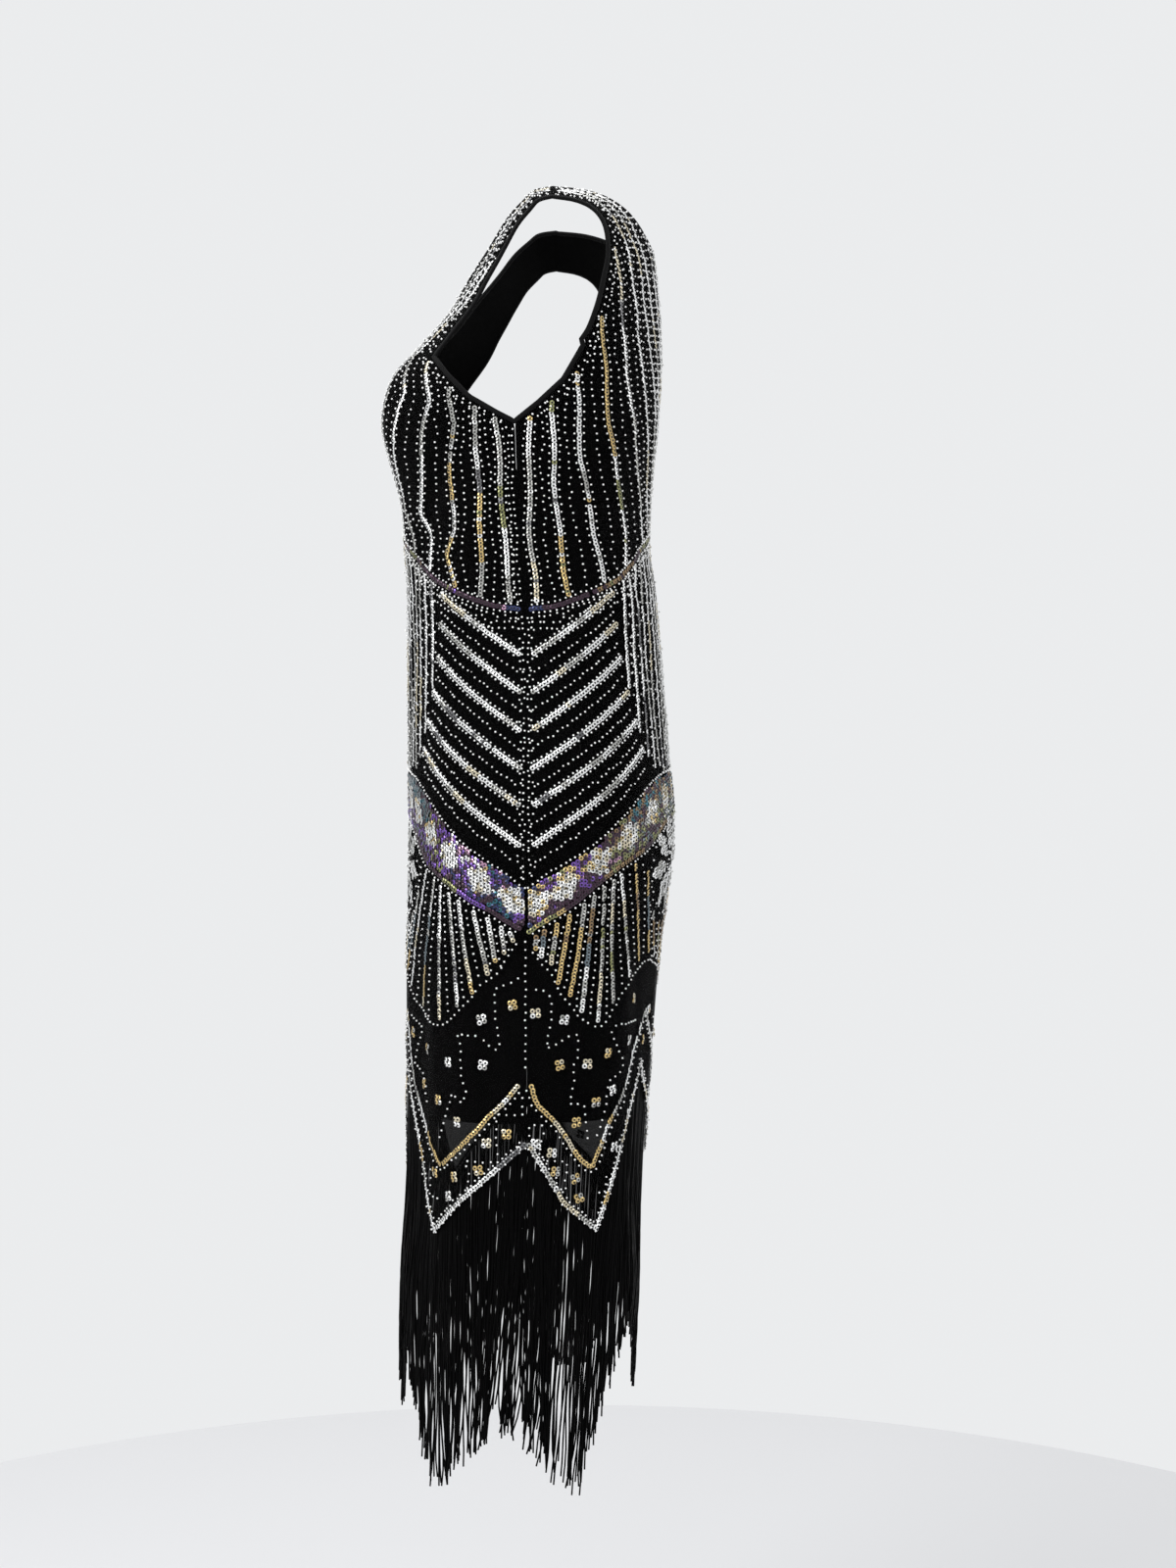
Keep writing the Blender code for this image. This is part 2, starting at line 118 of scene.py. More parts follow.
# %% Creases of each side
# lap, z, slant in degrees from upright, half length, half width, how far the cloth stands out
CREASES_LEFT = (
    (0.66, -0.262, 28, 0.050, 0.009, -0.0022),
    (0.80, -0.300, 18, 0.045, 0.008, 0.0018),
    (0.52, -0.300, 35, 0.045, 0.010, -0.0018),
    (0.90, -0.345, 55, 0.040, 0.009, -0.0020),
    (1.12, -0.330, -40, 0.045, 0.009, -0.0020),
    (1.30, -0.290, -25, 0.050, 0.010, 0.0020),
    (1.48, -0.335, -48, 0.040, 0.009, -0.0018),
    (1.22, -0.160, -12, 0.055, 0.009, -0.0016),
    (0.35, -0.420, 12, 0.060, 0.012, -0.0018),
    (1.62, -0.430, -10, 0.060, 0.012, -0.0018),
    (0.88, -0.690, 4, 0.090, 0.012, -0.0022),
    (0.60, -0.720, -3, 0.100, 0.014, 0.0022),
    (1.27, -0.720, -4, 0.090, 0.012, 0.0022),
    (1.52, -0.700, 3, 0.100, 0.013, -0.0022),
)
CREASES_RIGHT = (
    (0.72, -0.275, 32, 0.045, 0.009, -0.0020),
    (0.58, -0.325, 40, 0.045, 0.010, 0.0018),
    (0.86, -0.320, 24, 0.050, 0.009, -0.0020),
    (1.16, -0.310, -34, 0.050, 0.009, -0.0022),
    (1.36, -0.345, -50, 0.040, 0.009, 0.0018),
    (1.54, -0.300, -30, 0.045, 0.010, -0.0018),
    (1.28, -0.180, -10, 0.050, 0.009, -0.0016),
    (0.40, -0.450, 8, 0.070, 0.012, 0.0018),
    (1.55, -0.460, -8, 0.060, 0.012, -0.0018),
    (0.82, -0.740, -4, 0.100, 0.013, 0.0024),
    (0.55, -0.690, 4, 0.090, 0.012, -0.0022),
    (1.20, -0.700, 3, 0.090, 0.012, -0.0024),
    (1.46, -0.730, -3, 0.100, 0.014, 0.0022),
)
print("creases:", len(CREASES_LEFT), "left,", len(CREASES_RIGHT), "right")

# %% How far folds and creases move the cloth
LAP_LENGTH = 0.23


def unit(vectors):
    """Vectors of length one, along the last axis."""
    return vectors / np.linalg.norm(vectors, axis=-1)[..., None].clip(1e-12)


def fold_depth(lap, z):
    """How far the folds move the cloth at places on one side."""
    out = np.zeros_like(lap)
    for middle, half, top, foot, depth in FOLDS:
        across = np.exp(-(((lap - middle) / half) ** 2))
        down = np.clip((top - z) / FOLD_EASE, 0, 1) * np.clip((z - foot) / FOLD_EASE, 0, 1)
        out += depth * across * down
    return out


def crease_depth(lap, z, creases):
    """How far the creases of a side move the cloth."""
    out = np.zeros_like(lap)
    for middle, height, slant, half_long, half_wide, depth in creases:
        right, up = (lap - middle) * LAP_LENGTH, z - height
        turn = math.radians(slant)
        along = up * math.cos(turn) + right * math.sin(turn)
        across = right * math.cos(turn) - up * math.sin(turn)
        out += depth * np.exp(-((along / half_long) ** 2) - (across / half_wide) ** 2)
    return out


print("deepest fold: %.4f m" % max(abs(depth) for *_, depth in FOLDS))

# %% The grid of the whole surface, worked out once for each side
ROWS = np.array(COURSES)
NUMBERS = np.linspace(0, len(ROWS) - 1, 691)
LAPS = np.linspace(0, 2, 401)
RING_SAMPLES = 361


def run_of(gaps):
    """The distance run at each point of a path, from the gaps between its points."""
    return np.concatenate(([0.0], np.cumsum(gaps)))


def course(number):
    """The sizes at a course number, on a smooth curve through the rows of COURSES."""
    last = len(ROWS) - 1
    first = min(int(number), last - 1)
    t = number - first
    a, b, c, d = (ROWS[min(max(first + k, 0), last)] for k in (-1, 0, 1, 2))
    return 0.5 * (2 * b + (c - a) * t + (2 * a - 5 * b + 4 * c - d) * t**2 + (3 * b - a - 3 * c + d) * t**3)


def ring(number, creases):
    """One course from centre front, lap 0, over the side seam, lap 1, to centre back, lap 2."""
    height, fall, wide, side, front, back, square = course(number)
    turn = np.linspace(0, math.pi, RING_SAMPLES)
    across = np.sin(turn).clip(0) ** (2 / square)
    along = np.abs(np.cos(turn)) ** (2 / square)
    is_front = turn < math.pi / 2
    x = wide * across
    y = side + (np.where(is_front, front, back) - side) * along
    z = height - fall * x
    bust = np.exp(-(((x - BUST_X) / BUST_REACH_X) ** 2) - ((z - BUST_Z) / BUST_REACH_Z) ** 2)
    y -= np.where(is_front, BUST_DEPTH * bust * along, 0)
    run = run_of(np.hypot(np.diff(x), np.diff(y)))
    half = run[len(run) // 2]
    lap = np.where(run <= half, run / half, 1 + (run - half) / (run[-1] - half))
    away = unit(np.stack([np.gradient(y), -np.gradient(x)], 1))
    moved = fold_depth(lap, z) + crease_depth(lap, z, creases)
    x = x + away[:, 0] * moved
    y = y + away[:, 1] * moved
    x[0] = x[-1] = 0
    return np.stack([np.interp(LAPS, lap, v) for v in (x, y, z)], 1), height


SURFACE, OUTWARD = [], []
for creases in (CREASES_LEFT, CREASES_RIGHT):
    made = [ring(number, creases) for number in NUMBERS]
    SURFACE.append(np.array([points for points, _ in made]))
    OUTWARD.append(unit(np.cross(np.gradient(SURFACE[-1], axis=0), np.gradient(SURFACE[-1], axis=1))))
DROPS = -np.array([height for _, height in made])
# the halves of the dress meet square at the centre lines, and the shoulder edge copies the next course
for grid in OUTWARD:
    grid[:, 0, 0] = grid[:, -1, 0] = 0
    grid[0] = grid[1]
print("surface grid:", SURFACE[0].shape)

# %% [markdown]
# ## Finding a place on the cloth
# `cloth` reads the grid between its points. A turn runs from -2 to 2: 0 is the centre front, 1 the left
# side seam, -1 the right side seam, and 2 and -2 meet at the centre back.


# %% Read the surface
def read(grid, lap, number):
    """Values of a grid between its points."""
    i = np.clip(number / (NUMBERS[1] - NUMBERS[0]), 0, len(NUMBERS) - 1.001)
    j = np.clip(lap / (LAPS[1] - LAPS[0]), 0, len(LAPS) - 1.001)
    i0, j0 = i.astype(int), j.astype(int)
    u, v = (i - i0)[..., None], (j - j0)[..., None]
    near = grid[i0, j0] * (1 - v) + grid[i0, j0 + 1] * v
    far = grid[i0 + 1, j0] * (1 - v) + grid[i0 + 1, j0 + 1] * v
    return near * (1 - u) + far * u


def cloth(turn, number, depth=0.0):
    """Points on the net's outer face, moved inwards by depth, and the directions out of the cloth."""
    turn, number = np.broadcast_arrays(np.asarray(turn, float), np.asarray(number, float))
    is_right = (turn < 0)[..., None]
    lap = np.abs(turn)
    at = np.where(is_right, read(SURFACE[1], lap, number), read(SURFACE[0], lap, number))
    out = np.where(is_right, read(OUTWARD[1], lap, number), read(OUTWARD[0], lap, number))
    flip = np.where(is_right, [-1.0, 1.0, 1.0], 1.0)
    out = unit(out)
    return at * flip - out * flip * np.asarray(depth)[..., None], out * flip


def number_at(height):
    """The number of the level course at a height below the armholes."""
    return np.interp(-np.asarray(height, float), DROPS, NUMBERS)


def turn_of(share, is_back, side):
    """The turn at a share of the quarter, 0 at the side seam and 1 at the centre."""
    return side * (1 + np.asarray(share) if is_back else 1 - np.asarray(share))


print("hip girth: %.3f m" % (4 * LAP_LENGTH))

# %% [markdown]
# ## The cut edges
# The neckline, the armholes and the hem are where the surface stops. The hem is a zigzag: a long point on
# each side of each side seam, a notch at the side seam, and a shorter point at the centre.

# %% Outlines, the same as in the CAD source
# z, and x of the strap's outer edge or of the neck's edge, or y of the armhole below the strap
STRAP_FRONT = (
    (-0.0108, 0.1280),
    (-0.0350, 0.1210),
    (-0.0573, 0.1175),
    (-0.0859, 0.1185),
    (-0.1264, 0.1235),
    (-0.1540, 0.1285),
)
STRAP_BACK = (
    (-0.0108, 0.1280),
    (-0.0438, 0.1350),
    (-0.0732, 0.1410),
    (-0.1034, 0.1460),
    (-0.1420, 0.1535),
)
UNDERARM_FRONT = (
    (-0.1540, -0.1010),
    (-0.1700, -0.0900),
    (-0.1905, -0.0710),
    (-0.2045, -0.0475),
    (-0.2130, -0.0308),
)
UNDERARM_BACK = ((-0.1420, 0.0306), (-0.1755, 0.0120), (-0.1960, -0.0095), (-0.2130, -0.0308))
ARMHOLE_FOOT = -0.2130
NECK_FRONT = ((0.0120, 0.0790), (-0.0300, 0.0660), (-0.0800, 0.0440), (-0.1300, 0.0185), (-0.1650, 0.0000))
NECK_FOOT = NECK_FRONT[-1][0]
SCOOP_HALF, SCOOP_TOP, SCOOP_DEPTH = 0.0790, 0.0100, 0.0460
# share of the quarter from the side seam, and z
HEM_FRONT = ((0.0, -0.819), (0.39, -0.900), (0.72, -0.765), (1.0, -0.870))
HEM_BACK = ((0.0, -0.819), (0.14, -0.870), (0.28, -0.8955), (0.40, -0.828), (0.62, -0.762), (1.0, -0.853))
LINING_HEM = -0.800
LINING_ABOVE_HEM = 0.006


def outline(table):
    """The columns of an outline, as np.interp takes them."""
    heights, edges = zip(*table)
    return -np.array(heights), edges


def hem(share, is_back):
    """The height of the hem at shares of the quarter."""
    return np.interp(share, *zip(*(HEM_BACK if is_back else HEM_FRONT)))


print("hem at the side seam: %.3f, at its lowest: %.3f" % (hem(0, False), min(z for _, z in HEM_FRONT)))

# %% Where each course of cloth ends
EDGE_SAMPLES = 201
BELOW_ARMHOLES = -0.25


def crossing(laps, keep, order):
    """The lap where a course leaves the kept cloth, found between two samples."""
    previous = None
    for i in order:
        if keep[i] >= 0:
            if previous is None:
                return laps[i]
            return laps[i] + keep[i] / (keep[i] - keep[previous]) * (laps[previous] - laps[i])
        previous = i
    raise ValueError("no cloth on this course")


def ends_of(number, is_back):
    """The shares, 0 at the side seam and 1 at the centre, between which a course has cloth."""
    shares = np.linspace(1, 0, EDGE_SAMPLES)
    at, _ = cloth(turn_of(shares, is_back, 1), np.full(EDGE_SAMPLES, number))
    x, y, z = at.T
    if is_back:
        depth = ((SCOOP_TOP - z) / SCOOP_DEPTH).clip(0, 1)
        neck = np.where(z > SCOOP_TOP - SCOOP_DEPTH, x - SCOOP_HALF * np.sqrt(1 - depth**2), 1)
    else:
        neck = np.where(z > NECK_FOOT, x - np.interp(-z, *outline(NECK_FRONT)), 1)
    strap, underarm = (STRAP_BACK, UNDERARM_BACK) if is_back else (STRAP_FRONT, UNDERARM_FRONT)
    inside_strap = np.interp(-z, *outline(strap)) - x
    above_curve = (np.interp(-z, *outline(underarm)) - y) * (-1 if is_back else 1)
    armhole = np.where(z > strap[-1][0], inside_strap, np.maximum(above_curve, ARMHOLE_FOOT - z))
    inner = crossing(shares, neck, range(EDGE_SAMPLES))
    outer = crossing(shares, np.where(shares > inner, 1, armhole), range(EDGE_SAMPLES - 1, -1, -1))
    return outer, inner


EDGE_NUMBERS = np.linspace(0, float(number_at(BELOW_ARMHOLES)), 240)
EDGES = {is_back: np.array([ends_of(n, is_back) for n in EDGE_NUMBERS]) for is_back in (False, True)}


def edges_at(number, is_back):
    """The outer and inner shares of the cloth at course numbers, from the table of edges."""
    found = EDGES[is_back]
    number = np.asarray(number, float)
    return np.interp(number, EDGE_NUMBERS, found[:, 0]), np.interp(number, EDGE_NUMBERS, found[:, 1])


print("strap at the shoulder: %.3f to %.3f" % tuple(edges_at(0, False)))

# %% [markdown]
# ## Net and lining
# The net is one layer of black tulle, so thin that the skin would show through it where no lining hangs
# behind: in the points of the hem, below the lining's straight edge. Each panel is a fine grid of places
# on the surface, given two faces and a rim so that it is a closed shell. A half panel is worked out for
# each side, because their creases differ, and the halves share the points of the centre line.

# %% Lay a grid of places on the surface
# columns in a half panel, spacing of the courses, and rows of the hem zone
NET_GRID = (44, 0.11, 20)
LINING_GRID = (28, 0.20, 10)
HEM_ZONE_TOP = -0.70
SHOULDER_NUMBER = 0.004
ABOVE_NECK_FOOT = (0.01, 0.02, 0.04, 0.06, 0.09, 0.12, 0.16, 0.20)


def rows_for(is_back, spacing):
    """Course numbers from the shoulder seam to just above the hem zone, closer where the neck ends."""
    numbers = list(np.arange(0, float(number_at(HEM_ZONE_TOP)), spacing))
    foot = float(number_at(SCOOP_TOP - SCOOP_DEPTH if is_back else NECK_FOOT))
    numbers += [foot, float(number_at(ARMHOLE_FOOT))]
    if is_back:
        numbers += [foot - step for step in ABOVE_NECK_FOOT]
    numbers[0] = SHOULDER_NUMBER
    return np.array(sorted(set(round(n, 4) for n in numbers)))


def columns_for(is_back, count):
    """Shares from the side seam to the centre, with one on each corner of the hem."""
    corners = [share for share, _ in (HEM_BACK if is_back else HEM_FRONT)]
    found = []
    for a, b in zip(corners[:-1], corners[1:]):
        found.append(np.linspace(a, b, max(2, round((b - a) * count)), endpoint=False))
    return np.concatenate(found + [[1.0]])


def panel_places(is_back, side, count, spacing, hem_rows, hem_of):
    """Grids of turns and course numbers for a half panel, with the seam gap left at the side."""
    half_gap = SEAM_GAP / 2 / LAP_LENGTH
    columns = columns_for(is_back, count)
    numbers = rows_for(is_back, spacing)
    outer, inner = edges_at(numbers, is_back)
    outer = np.maximum(outer, half_gap)
    inner = np.where(numbers > numbers[inner < 0.999].max(), 1.0, inner)
    shares = outer[:, None] + columns * (inner - outer)[:, None]
    grid_numbers = np.repeat(numbers[:, None], len(columns), 1)
    down = np.linspace(0, 1, hem_rows + 1)[1:, None]
    foot_shares = np.maximum(columns, half_gap)
    shares = np.concatenate([shares, np.repeat(foot_shares[None], hem_rows, 0)])
    heights = HEM_ZONE_TOP + (hem_of(columns) - HEM_ZONE_TOP) * down
    grid_numbers = np.concatenate([grid_numbers, number_at(heights)])
    return turn_of(shares, is_back, side), grid_numbers


print("courses in the net: %d front, %d back" % tuple(len(rows_for(b, NET_GRID[1])) for b in (False, True)))

# %% Make a closed shell of two grids
NET_SHOWN = 0.0005
LINING_SHOWN = 0.0008
SHARP_ANGLE = math.radians(60)


def placed(name, data):
    """A new object in the scene."""
    made = bpy.data.objects.new(name, data)
    bpy.context.scene.collection.objects.link(made)
    return made


def shell(name, halves, depth, thickness, is_back):
    """A closed shell from the left and right halves of a panel."""
    outer, inner, texture, faces, at_centre = [], [], [], [], None
    for side, (turns, numbers) in zip((1, -1), halves):
        at, out = cloth(turns, numbers, depth)
        rows, columns = turns.shape
        index = np.arange(rows * columns).reshape(rows, columns) + len(outer)
        shares = np.abs(np.abs(turns) - 1)
        flat = np.stack([side * (1 - shares) * LAP_LENGTH, at[..., 2]], -1)
        outer += list(at.reshape(-1, 3))
        inner += list((at - out * thickness).reshape(-1, 3))
        texture += list(flat.reshape(-1, 2))
        if side == 1:
            at_centre = index[:, -1]
        else:
            shared = shares[:, -1] > 0.9999
            index[shared, -1] = at_centre[shared]
        a, b, c, d = index[:-1, :-1], index[:-1, 1:], index[1:, 1:], index[1:, :-1]
        quads = np.stack([a, b, c, d], -1).reshape(-1, 4)
        faces.append(quads if (side == 1) != is_back else quads[:, ::-1])
    faces = np.concatenate(faces)
    used, faces = np.unique(faces, return_inverse=True)
    faces = faces.reshape(-1, 4)
    outer, inner, texture = (np.array(v)[used] for v in (outer, inner, texture))
    return closed(name, outer, inner, texture, faces)


def closed(name, outer, inner, texture, faces):
    """Two faces and a rim, made one mesh with a texture map in metres."""
    count = len(outer)
    sides = np.stack([faces, np.roll(faces, -1, 1)], -1).reshape(-1, 2)
    key = sides[:, 0] * count + sides[:, 1]
    reverse = sides[:, 1] * count + sides[:, 0]
    free = sides[~np.isin(key, reverse)]
    rim = np.stack([free[:, 1], free[:, 0], free[:, 0] + count, free[:, 1] + count], 1)
    every = np.concatenate([faces, faces[:, ::-1] + count, rim])
    mesh = bpy.data.meshes.new(name)
    mesh.from_pydata(np.concatenate([outer, inner]).tolist(), [], every.tolist())
    layer = mesh.uv_layers.new(name="cloth")
    loops = np.zeros(len(mesh.loops), int)
    mesh.loops.foreach_get("vertex_index", loops)
    layer.data.foreach_set("uv", np.concatenate([texture, texture])[loops].ravel())
    mesh.shade_smooth()
    mesh.set_sharp_from_angle(angle=SHARP_ANGLE)
    return placed(name, mesh)


print("shown thickness: %.4f m net, %.4f m lining" % (NET_SHOWN, LINING_SHOWN))

# %% Cut and hang the four panels
cloth_pieces = {}
for label, is_back in (("front", False), ("back", True)):

    def lining_hem(share):
        """The lining is cut straight, or just above the net's hem where that is higher."""
        return np.maximum(LINING_HEM, hem(share, is_back) + LINING_ABOVE_HEM)

    def net_hem(share):
        """The net follows the zigzag."""
        return hem(share, is_back)

    places = [panel_places(is_back, side, *NET_GRID, net_hem) for side in (1, -1)]
    cloth_pieces[f"{label}_panel"] = shell(f"{label}_net", places, 0.0, NET_SHOWN, is_back)
    places = [panel_places(is_back, side, *LINING_GRID, lining_hem) for side in (1, -1)]
    lining_depth = NET_WALL + LINING_CLEARANCE
    cloth_pieces[f"{label}_lining"] = shell(f"{label}_jersey", places, lining_depth, LINING_SHOWN, is_back)
for node, piece in cloth_pieces.items():
    area = sum(face.area for face in piece.data.polygons) / 2
    print(node, len(piece.data.polygons), "faces, %.3f m2" % area)

# %% [markdown]
# ## Lines of sewn-on pieces
# A bead worker draws each line on the net, then sews beads or sequins along it at an even pitch. The
# helpers below do the same: a line is a short list of corners, each a share of the quarter and a height,
# and `spaced` gives the places along it at a pitch, with the direction out of the cloth and the
# direction of the thread. The same list serves all four quarters, so the design mirrors as it is sewn.

# %% Thread a line
STEP = 0.0015


def on_run(where, run, values):
    """Three columns of values, read at distances along a run."""
    return np.stack([np.interp(where, run, values[:, k]) for k in range(3)], 1)


def spaced(at, out, pitch, start=0.5):
    """Even places along a path of points, with their directions and their shares of the way."""
    run = run_of(np.linalg.norm(np.diff(at, axis=0), axis=1))
    count = max(0, int(run[-1] / pitch - start + 1))
    where = (start + np.arange(count)) * pitch
    places, ways, threads = (on_run(where, run, values) for values in (at, out, np.gradient(at, axis=0)))
    return places, unit(ways), unit(threads), where / max(run[-1], 1e-9)


def drawn(corners, is_back, side, smooth=0.0):
    """The path of a line below the armholes, from corners of share and z."""
    shares, heights = np.array(corners, float).T
    run = run_of(np.hypot(np.diff(shares) * LAP_LENGTH, np.diff(heights)))
    fine = np.linspace(0, run[-1], max(3, int(run[-1] / STEP)))
    shares, heights = np.interp(fine, run, shares), np.interp(fine, run, heights)
    if smooth:
        shares, heights = softened(shares, smooth), softened(heights, smooth)
    return cloth(turn_of(shares, is_back, side), number_at(heights))


def softened(values, reach):
    """Values averaged with their neighbours, with both ends kept in place."""
    kernel = np.hanning(2 * int(reach / STEP) + 3)
    half = len(kernel) // 2
    padded = np.pad(values, half, mode="reflect", reflect_type="odd")
    return np.convolve(padded, kernel / kernel.sum(), "valid")


def shifted(at, out, offset):
    """A path moved sideways on the cloth, upward for a line that runs along it."""
    across = unit(np.cross(out, np.gradient(at, axis=0)))
    upward = 1 if across[:, 2].sum() >= 0 else -1
    return at + across * offset * upward, out


threaded = spaced(*drawn([(0.2, -0.5), (0.8, -0.5)], False, 1), 0.01)
print("places on a trial line:", len(threaded[0]))

# %% Sew beads and sequins along a line
rng = np.random.default_rng(26)
BEAD_LIFT, SEQUIN_LIFT = 0.0008, 0.0006
BEAD_PITCH, SEQUIN_PITCH = 0.0062, 0.0029
SHORT_STRETCH = (0.008, 0.035)
STRAY_SHARE = 0.12
WHOLE = 1.1
sewn = {}


def sew(finish, places, ways, threads, lift, jitter=0.0002):
    """Keep the places of pieces of one finish, lifted off the cloth, apart for the front and the back."""
    loose = rng.normal(0, jitter, places.shape)
    every = np.stack(np.broadcast_arrays(places + ways * lift + loose, ways, threads), 1)
    for label, mine in (("front", ways[:, 1] < 0), ("back", ways[:, 1] >= 0)):
        if mine.any():
            sewn.setdefault((label, finish), []).append(every[mine])


def beads(path, pitch=BEAD_PITCH, offset=0.0, jitter=0.0003):
    """Beads along a path, or beside it."""
    at, out = shifted(*path, offset) if offset else path
    places, ways, threads, _ = spaced(at, out, pitch, rng.uniform(0.3, 0.7))
    sew("bead", places, ways, threads, BEAD_LIFT, jitter)


def flanked(path, offset, pitch=BEAD_PITCH):
    """A line of beads on each side of a path."""
    beads(path, pitch, offset)
    beads(path, pitch, -offset)


def drawn_from(palette, count, shortest, longest):
    """A finish for each of a count of sequins, in stretches, with a stray one here and there."""
    names, weights = list(palette), np.array(list(palette.values()), float)
    weights /= weights.sum()
    chosen = []
    while len(chosen) < count:
        chosen += [rng.choice(names, p=weights)] * int(rng.uniform(shortest, longest) / SEQUIN_PITCH + 1)
    chosen = np.array(chosen[:count])
    stray = rng.random(count) < STRAY_SHARE
    chosen[stray] = rng.choice(names, stray.sum(), p=weights)
    return chosen


def sequins(path, parts, stretch=SHORT_STRETCH):
    """Sequins along a path. parts gives a palette for the whole line, or one up to each share of it."""
    places, ways, threads, shares = spaced(*path, SEQUIN_PITCH)
    start = 0.0
    for end, palette in parts if isinstance(parts, list) else [(WHOLE, parts)]:
        mine = np.flatnonzero((shares >= start) & (shares < end))
        chosen = drawn_from(palette, len(mine), *stretch)
        for finish in palette:
            ours = mine[chosen == finish]
            sew(finish, places[ours], ways[ours], threads[ours], SEQUIN_LIFT)
        start = end


def sewn_so_far():
    """The number of beads and sequins laid."""
    return sum(len(part) for made in sewn.values() for part in made)


# in these palettes the darker copy of silver is painted shade, for silver sequins that look grey in
# reflection
SILVERS = {"silver": 0.58, "steel": 0.26, "smoke": 0.06, "pale_gold": 0.10}
MIXED = {"silver": 0.46, "steel": 0.24, "smoke": 0.07, "olive": 0.06, "pale_gold": 0.08, "gold": 0.09}
GOLDS = {"gold": 0.80, "pale_gold": 0.20}
DARKS = {"olive": 0.35, "bronze": 0.30, "plum": 0.35}
QUARTERS = [(is_back, side) for is_back in (False, True) for side in (1, -1)]
print("palettes:", *map(len, (SILVERS, MIXED, GOLDS, DARKS)), "finishes; sewn so far:", sewn_so_far())

# %% [markdown]
# ## Bodice
# The bodice has upright rows of sequins with a row of beads close on each side and another between. The
# rows wander a little, as rows sewn on net by hand do, and above the bust they draw together into the
# shoulder straps, so a row near the side ends at the armhole and one near the centre at the V of the neck.

# %% Bodice rows, from the side seam to the centre
# z on the centre line, and share of the quarter
ROWS_FRONT = (
    ((-0.362, 0.055), (-0.285, 0.060), (-0.180, 0.068)),
    ((-0.356, 0.178), (-0.340, 0.166), (-0.310, 0.150), (-0.265, 0.147), (-0.215, 0.143), (-0.165, 0.158)),
    (
        (-0.350, 0.285), (-0.320, 0.322), (-0.300, 0.268), (-0.270, 0.265), (-0.242, 0.260),
        (-0.210, 0.225), (-0.145, 0.270),
    ),
    (
        (-0.334, 0.452), (-0.302, 0.410), (-0.283, 0.475), (-0.240, 0.400), (-0.190, 0.330),
        (-0.155, 0.390), (-0.110, 0.415),
    ),
    (
        (-0.315, 0.560), (-0.300, 0.552), (-0.275, 0.630), (-0.230, 0.585), (-0.178, 0.470),
        (-0.140, 0.562), (-0.100, 0.500), (-0.050, 0.420), (0.042, 0.330),
    ),
    (
        (-0.306, 0.690), (-0.280, 0.730), (-0.240, 0.715), (-0.175, 0.615), (-0.140, 0.660),
        (-0.060, 0.510), (0.042, 0.400),
    ),
    (
        (-0.300, 0.825), (-0.260, 0.845), (-0.200, 0.800), (-0.150, 0.755), (-0.110, 0.710),
        (-0.060, 0.600), (0.042, 0.470),
    ),
    ((-0.294, 0.950), (-0.240, 0.945), (-0.180, 0.905), (-0.120, 0.850)),
)
ROWS_BACK = (
    ((-0.362, 0.050), (-0.300, 0.042), (-0.250, 0.050), (-0.180, 0.052)),
    ((-0.356, 0.178), (-0.318, 0.165), (-0.260, 0.142), (-0.210, 0.135), (-0.165, 0.135)),
    ((-0.345, 0.335), (-0.318, 0.320), (-0.277, 0.278), (-0.240, 0.242), (-0.210, 0.230), (-0.130, 0.212)),
    (
        (-0.332, 0.474), (-0.298, 0.466), (-0.260, 0.425), (-0.210, 0.350), (-0.162, 0.332),
        (-0.132, 0.305), (-0.080, 0.260),
    ),
    (
        (-0.310, 0.680), (-0.268, 0.606), (-0.223, 0.518), (-0.190, 0.465), (-0.137, 0.425),
        (-0.064, 0.368), (-0.020, 0.335), (0.042, 0.325),
    ),
    (
        (-0.300, 0.785), (-0.250, 0.690), (-0.198, 0.605), (-0.162, 0.560), (-0.090, 0.498),
        (-0.033, 0.445), (0.042, 0.390),
    ),
    ((-0.295, 0.880), (-0.230, 0.780), (-0.166, 0.690), (-0.097, 0.592), (-0.039, 0.545), (0.042, 0.455)),
    ((-0.291, 0.935), (-0.220, 0.860), (-0.150, 0.765), (-0.090, 0.680), (-0.030, 0.615), (0.042, 0.525)),
    ((-0.291, 0.972), (-0.220, 0.925), (-0.150, 0.855), (-0.080, 0.785), (0.000, 0.715), (0.042, 0.650)),
    ((-0.288, 0.992), (-0.200, 0.968), (-0.120, 0.925), (-0.040, 0.880), (0.020, 0.850)),
)
print("bodice rows in a quarter: %d front, %d back" % (len(ROWS_FRONT), len(ROWS_BACK)))

# %% Cut the rows to the edges and sew them
EDGE_MARGIN = 0.0065 / LAP_LENGTH
ROWS_FOOT, ABOVE_WAIST = -0.37, 0.004
WANDER, WANDER_RATE = 0.004, 90
BESIDE_ROW = 0.0044
LONG_STRETCH = (0.012, 0.05)
CENTRE_SHARES, CENTRE_PITCH = (0.012, 0.029), 0.0056
LOOSE = 0.0006
WAIST = (
    (0.020, -0.368), (0.12, -0.366), (0.28, -0.353), (0.42, -0.339), (0.60, -0.312), (0.80, -0.296),
    (1.0, -0.290),
)


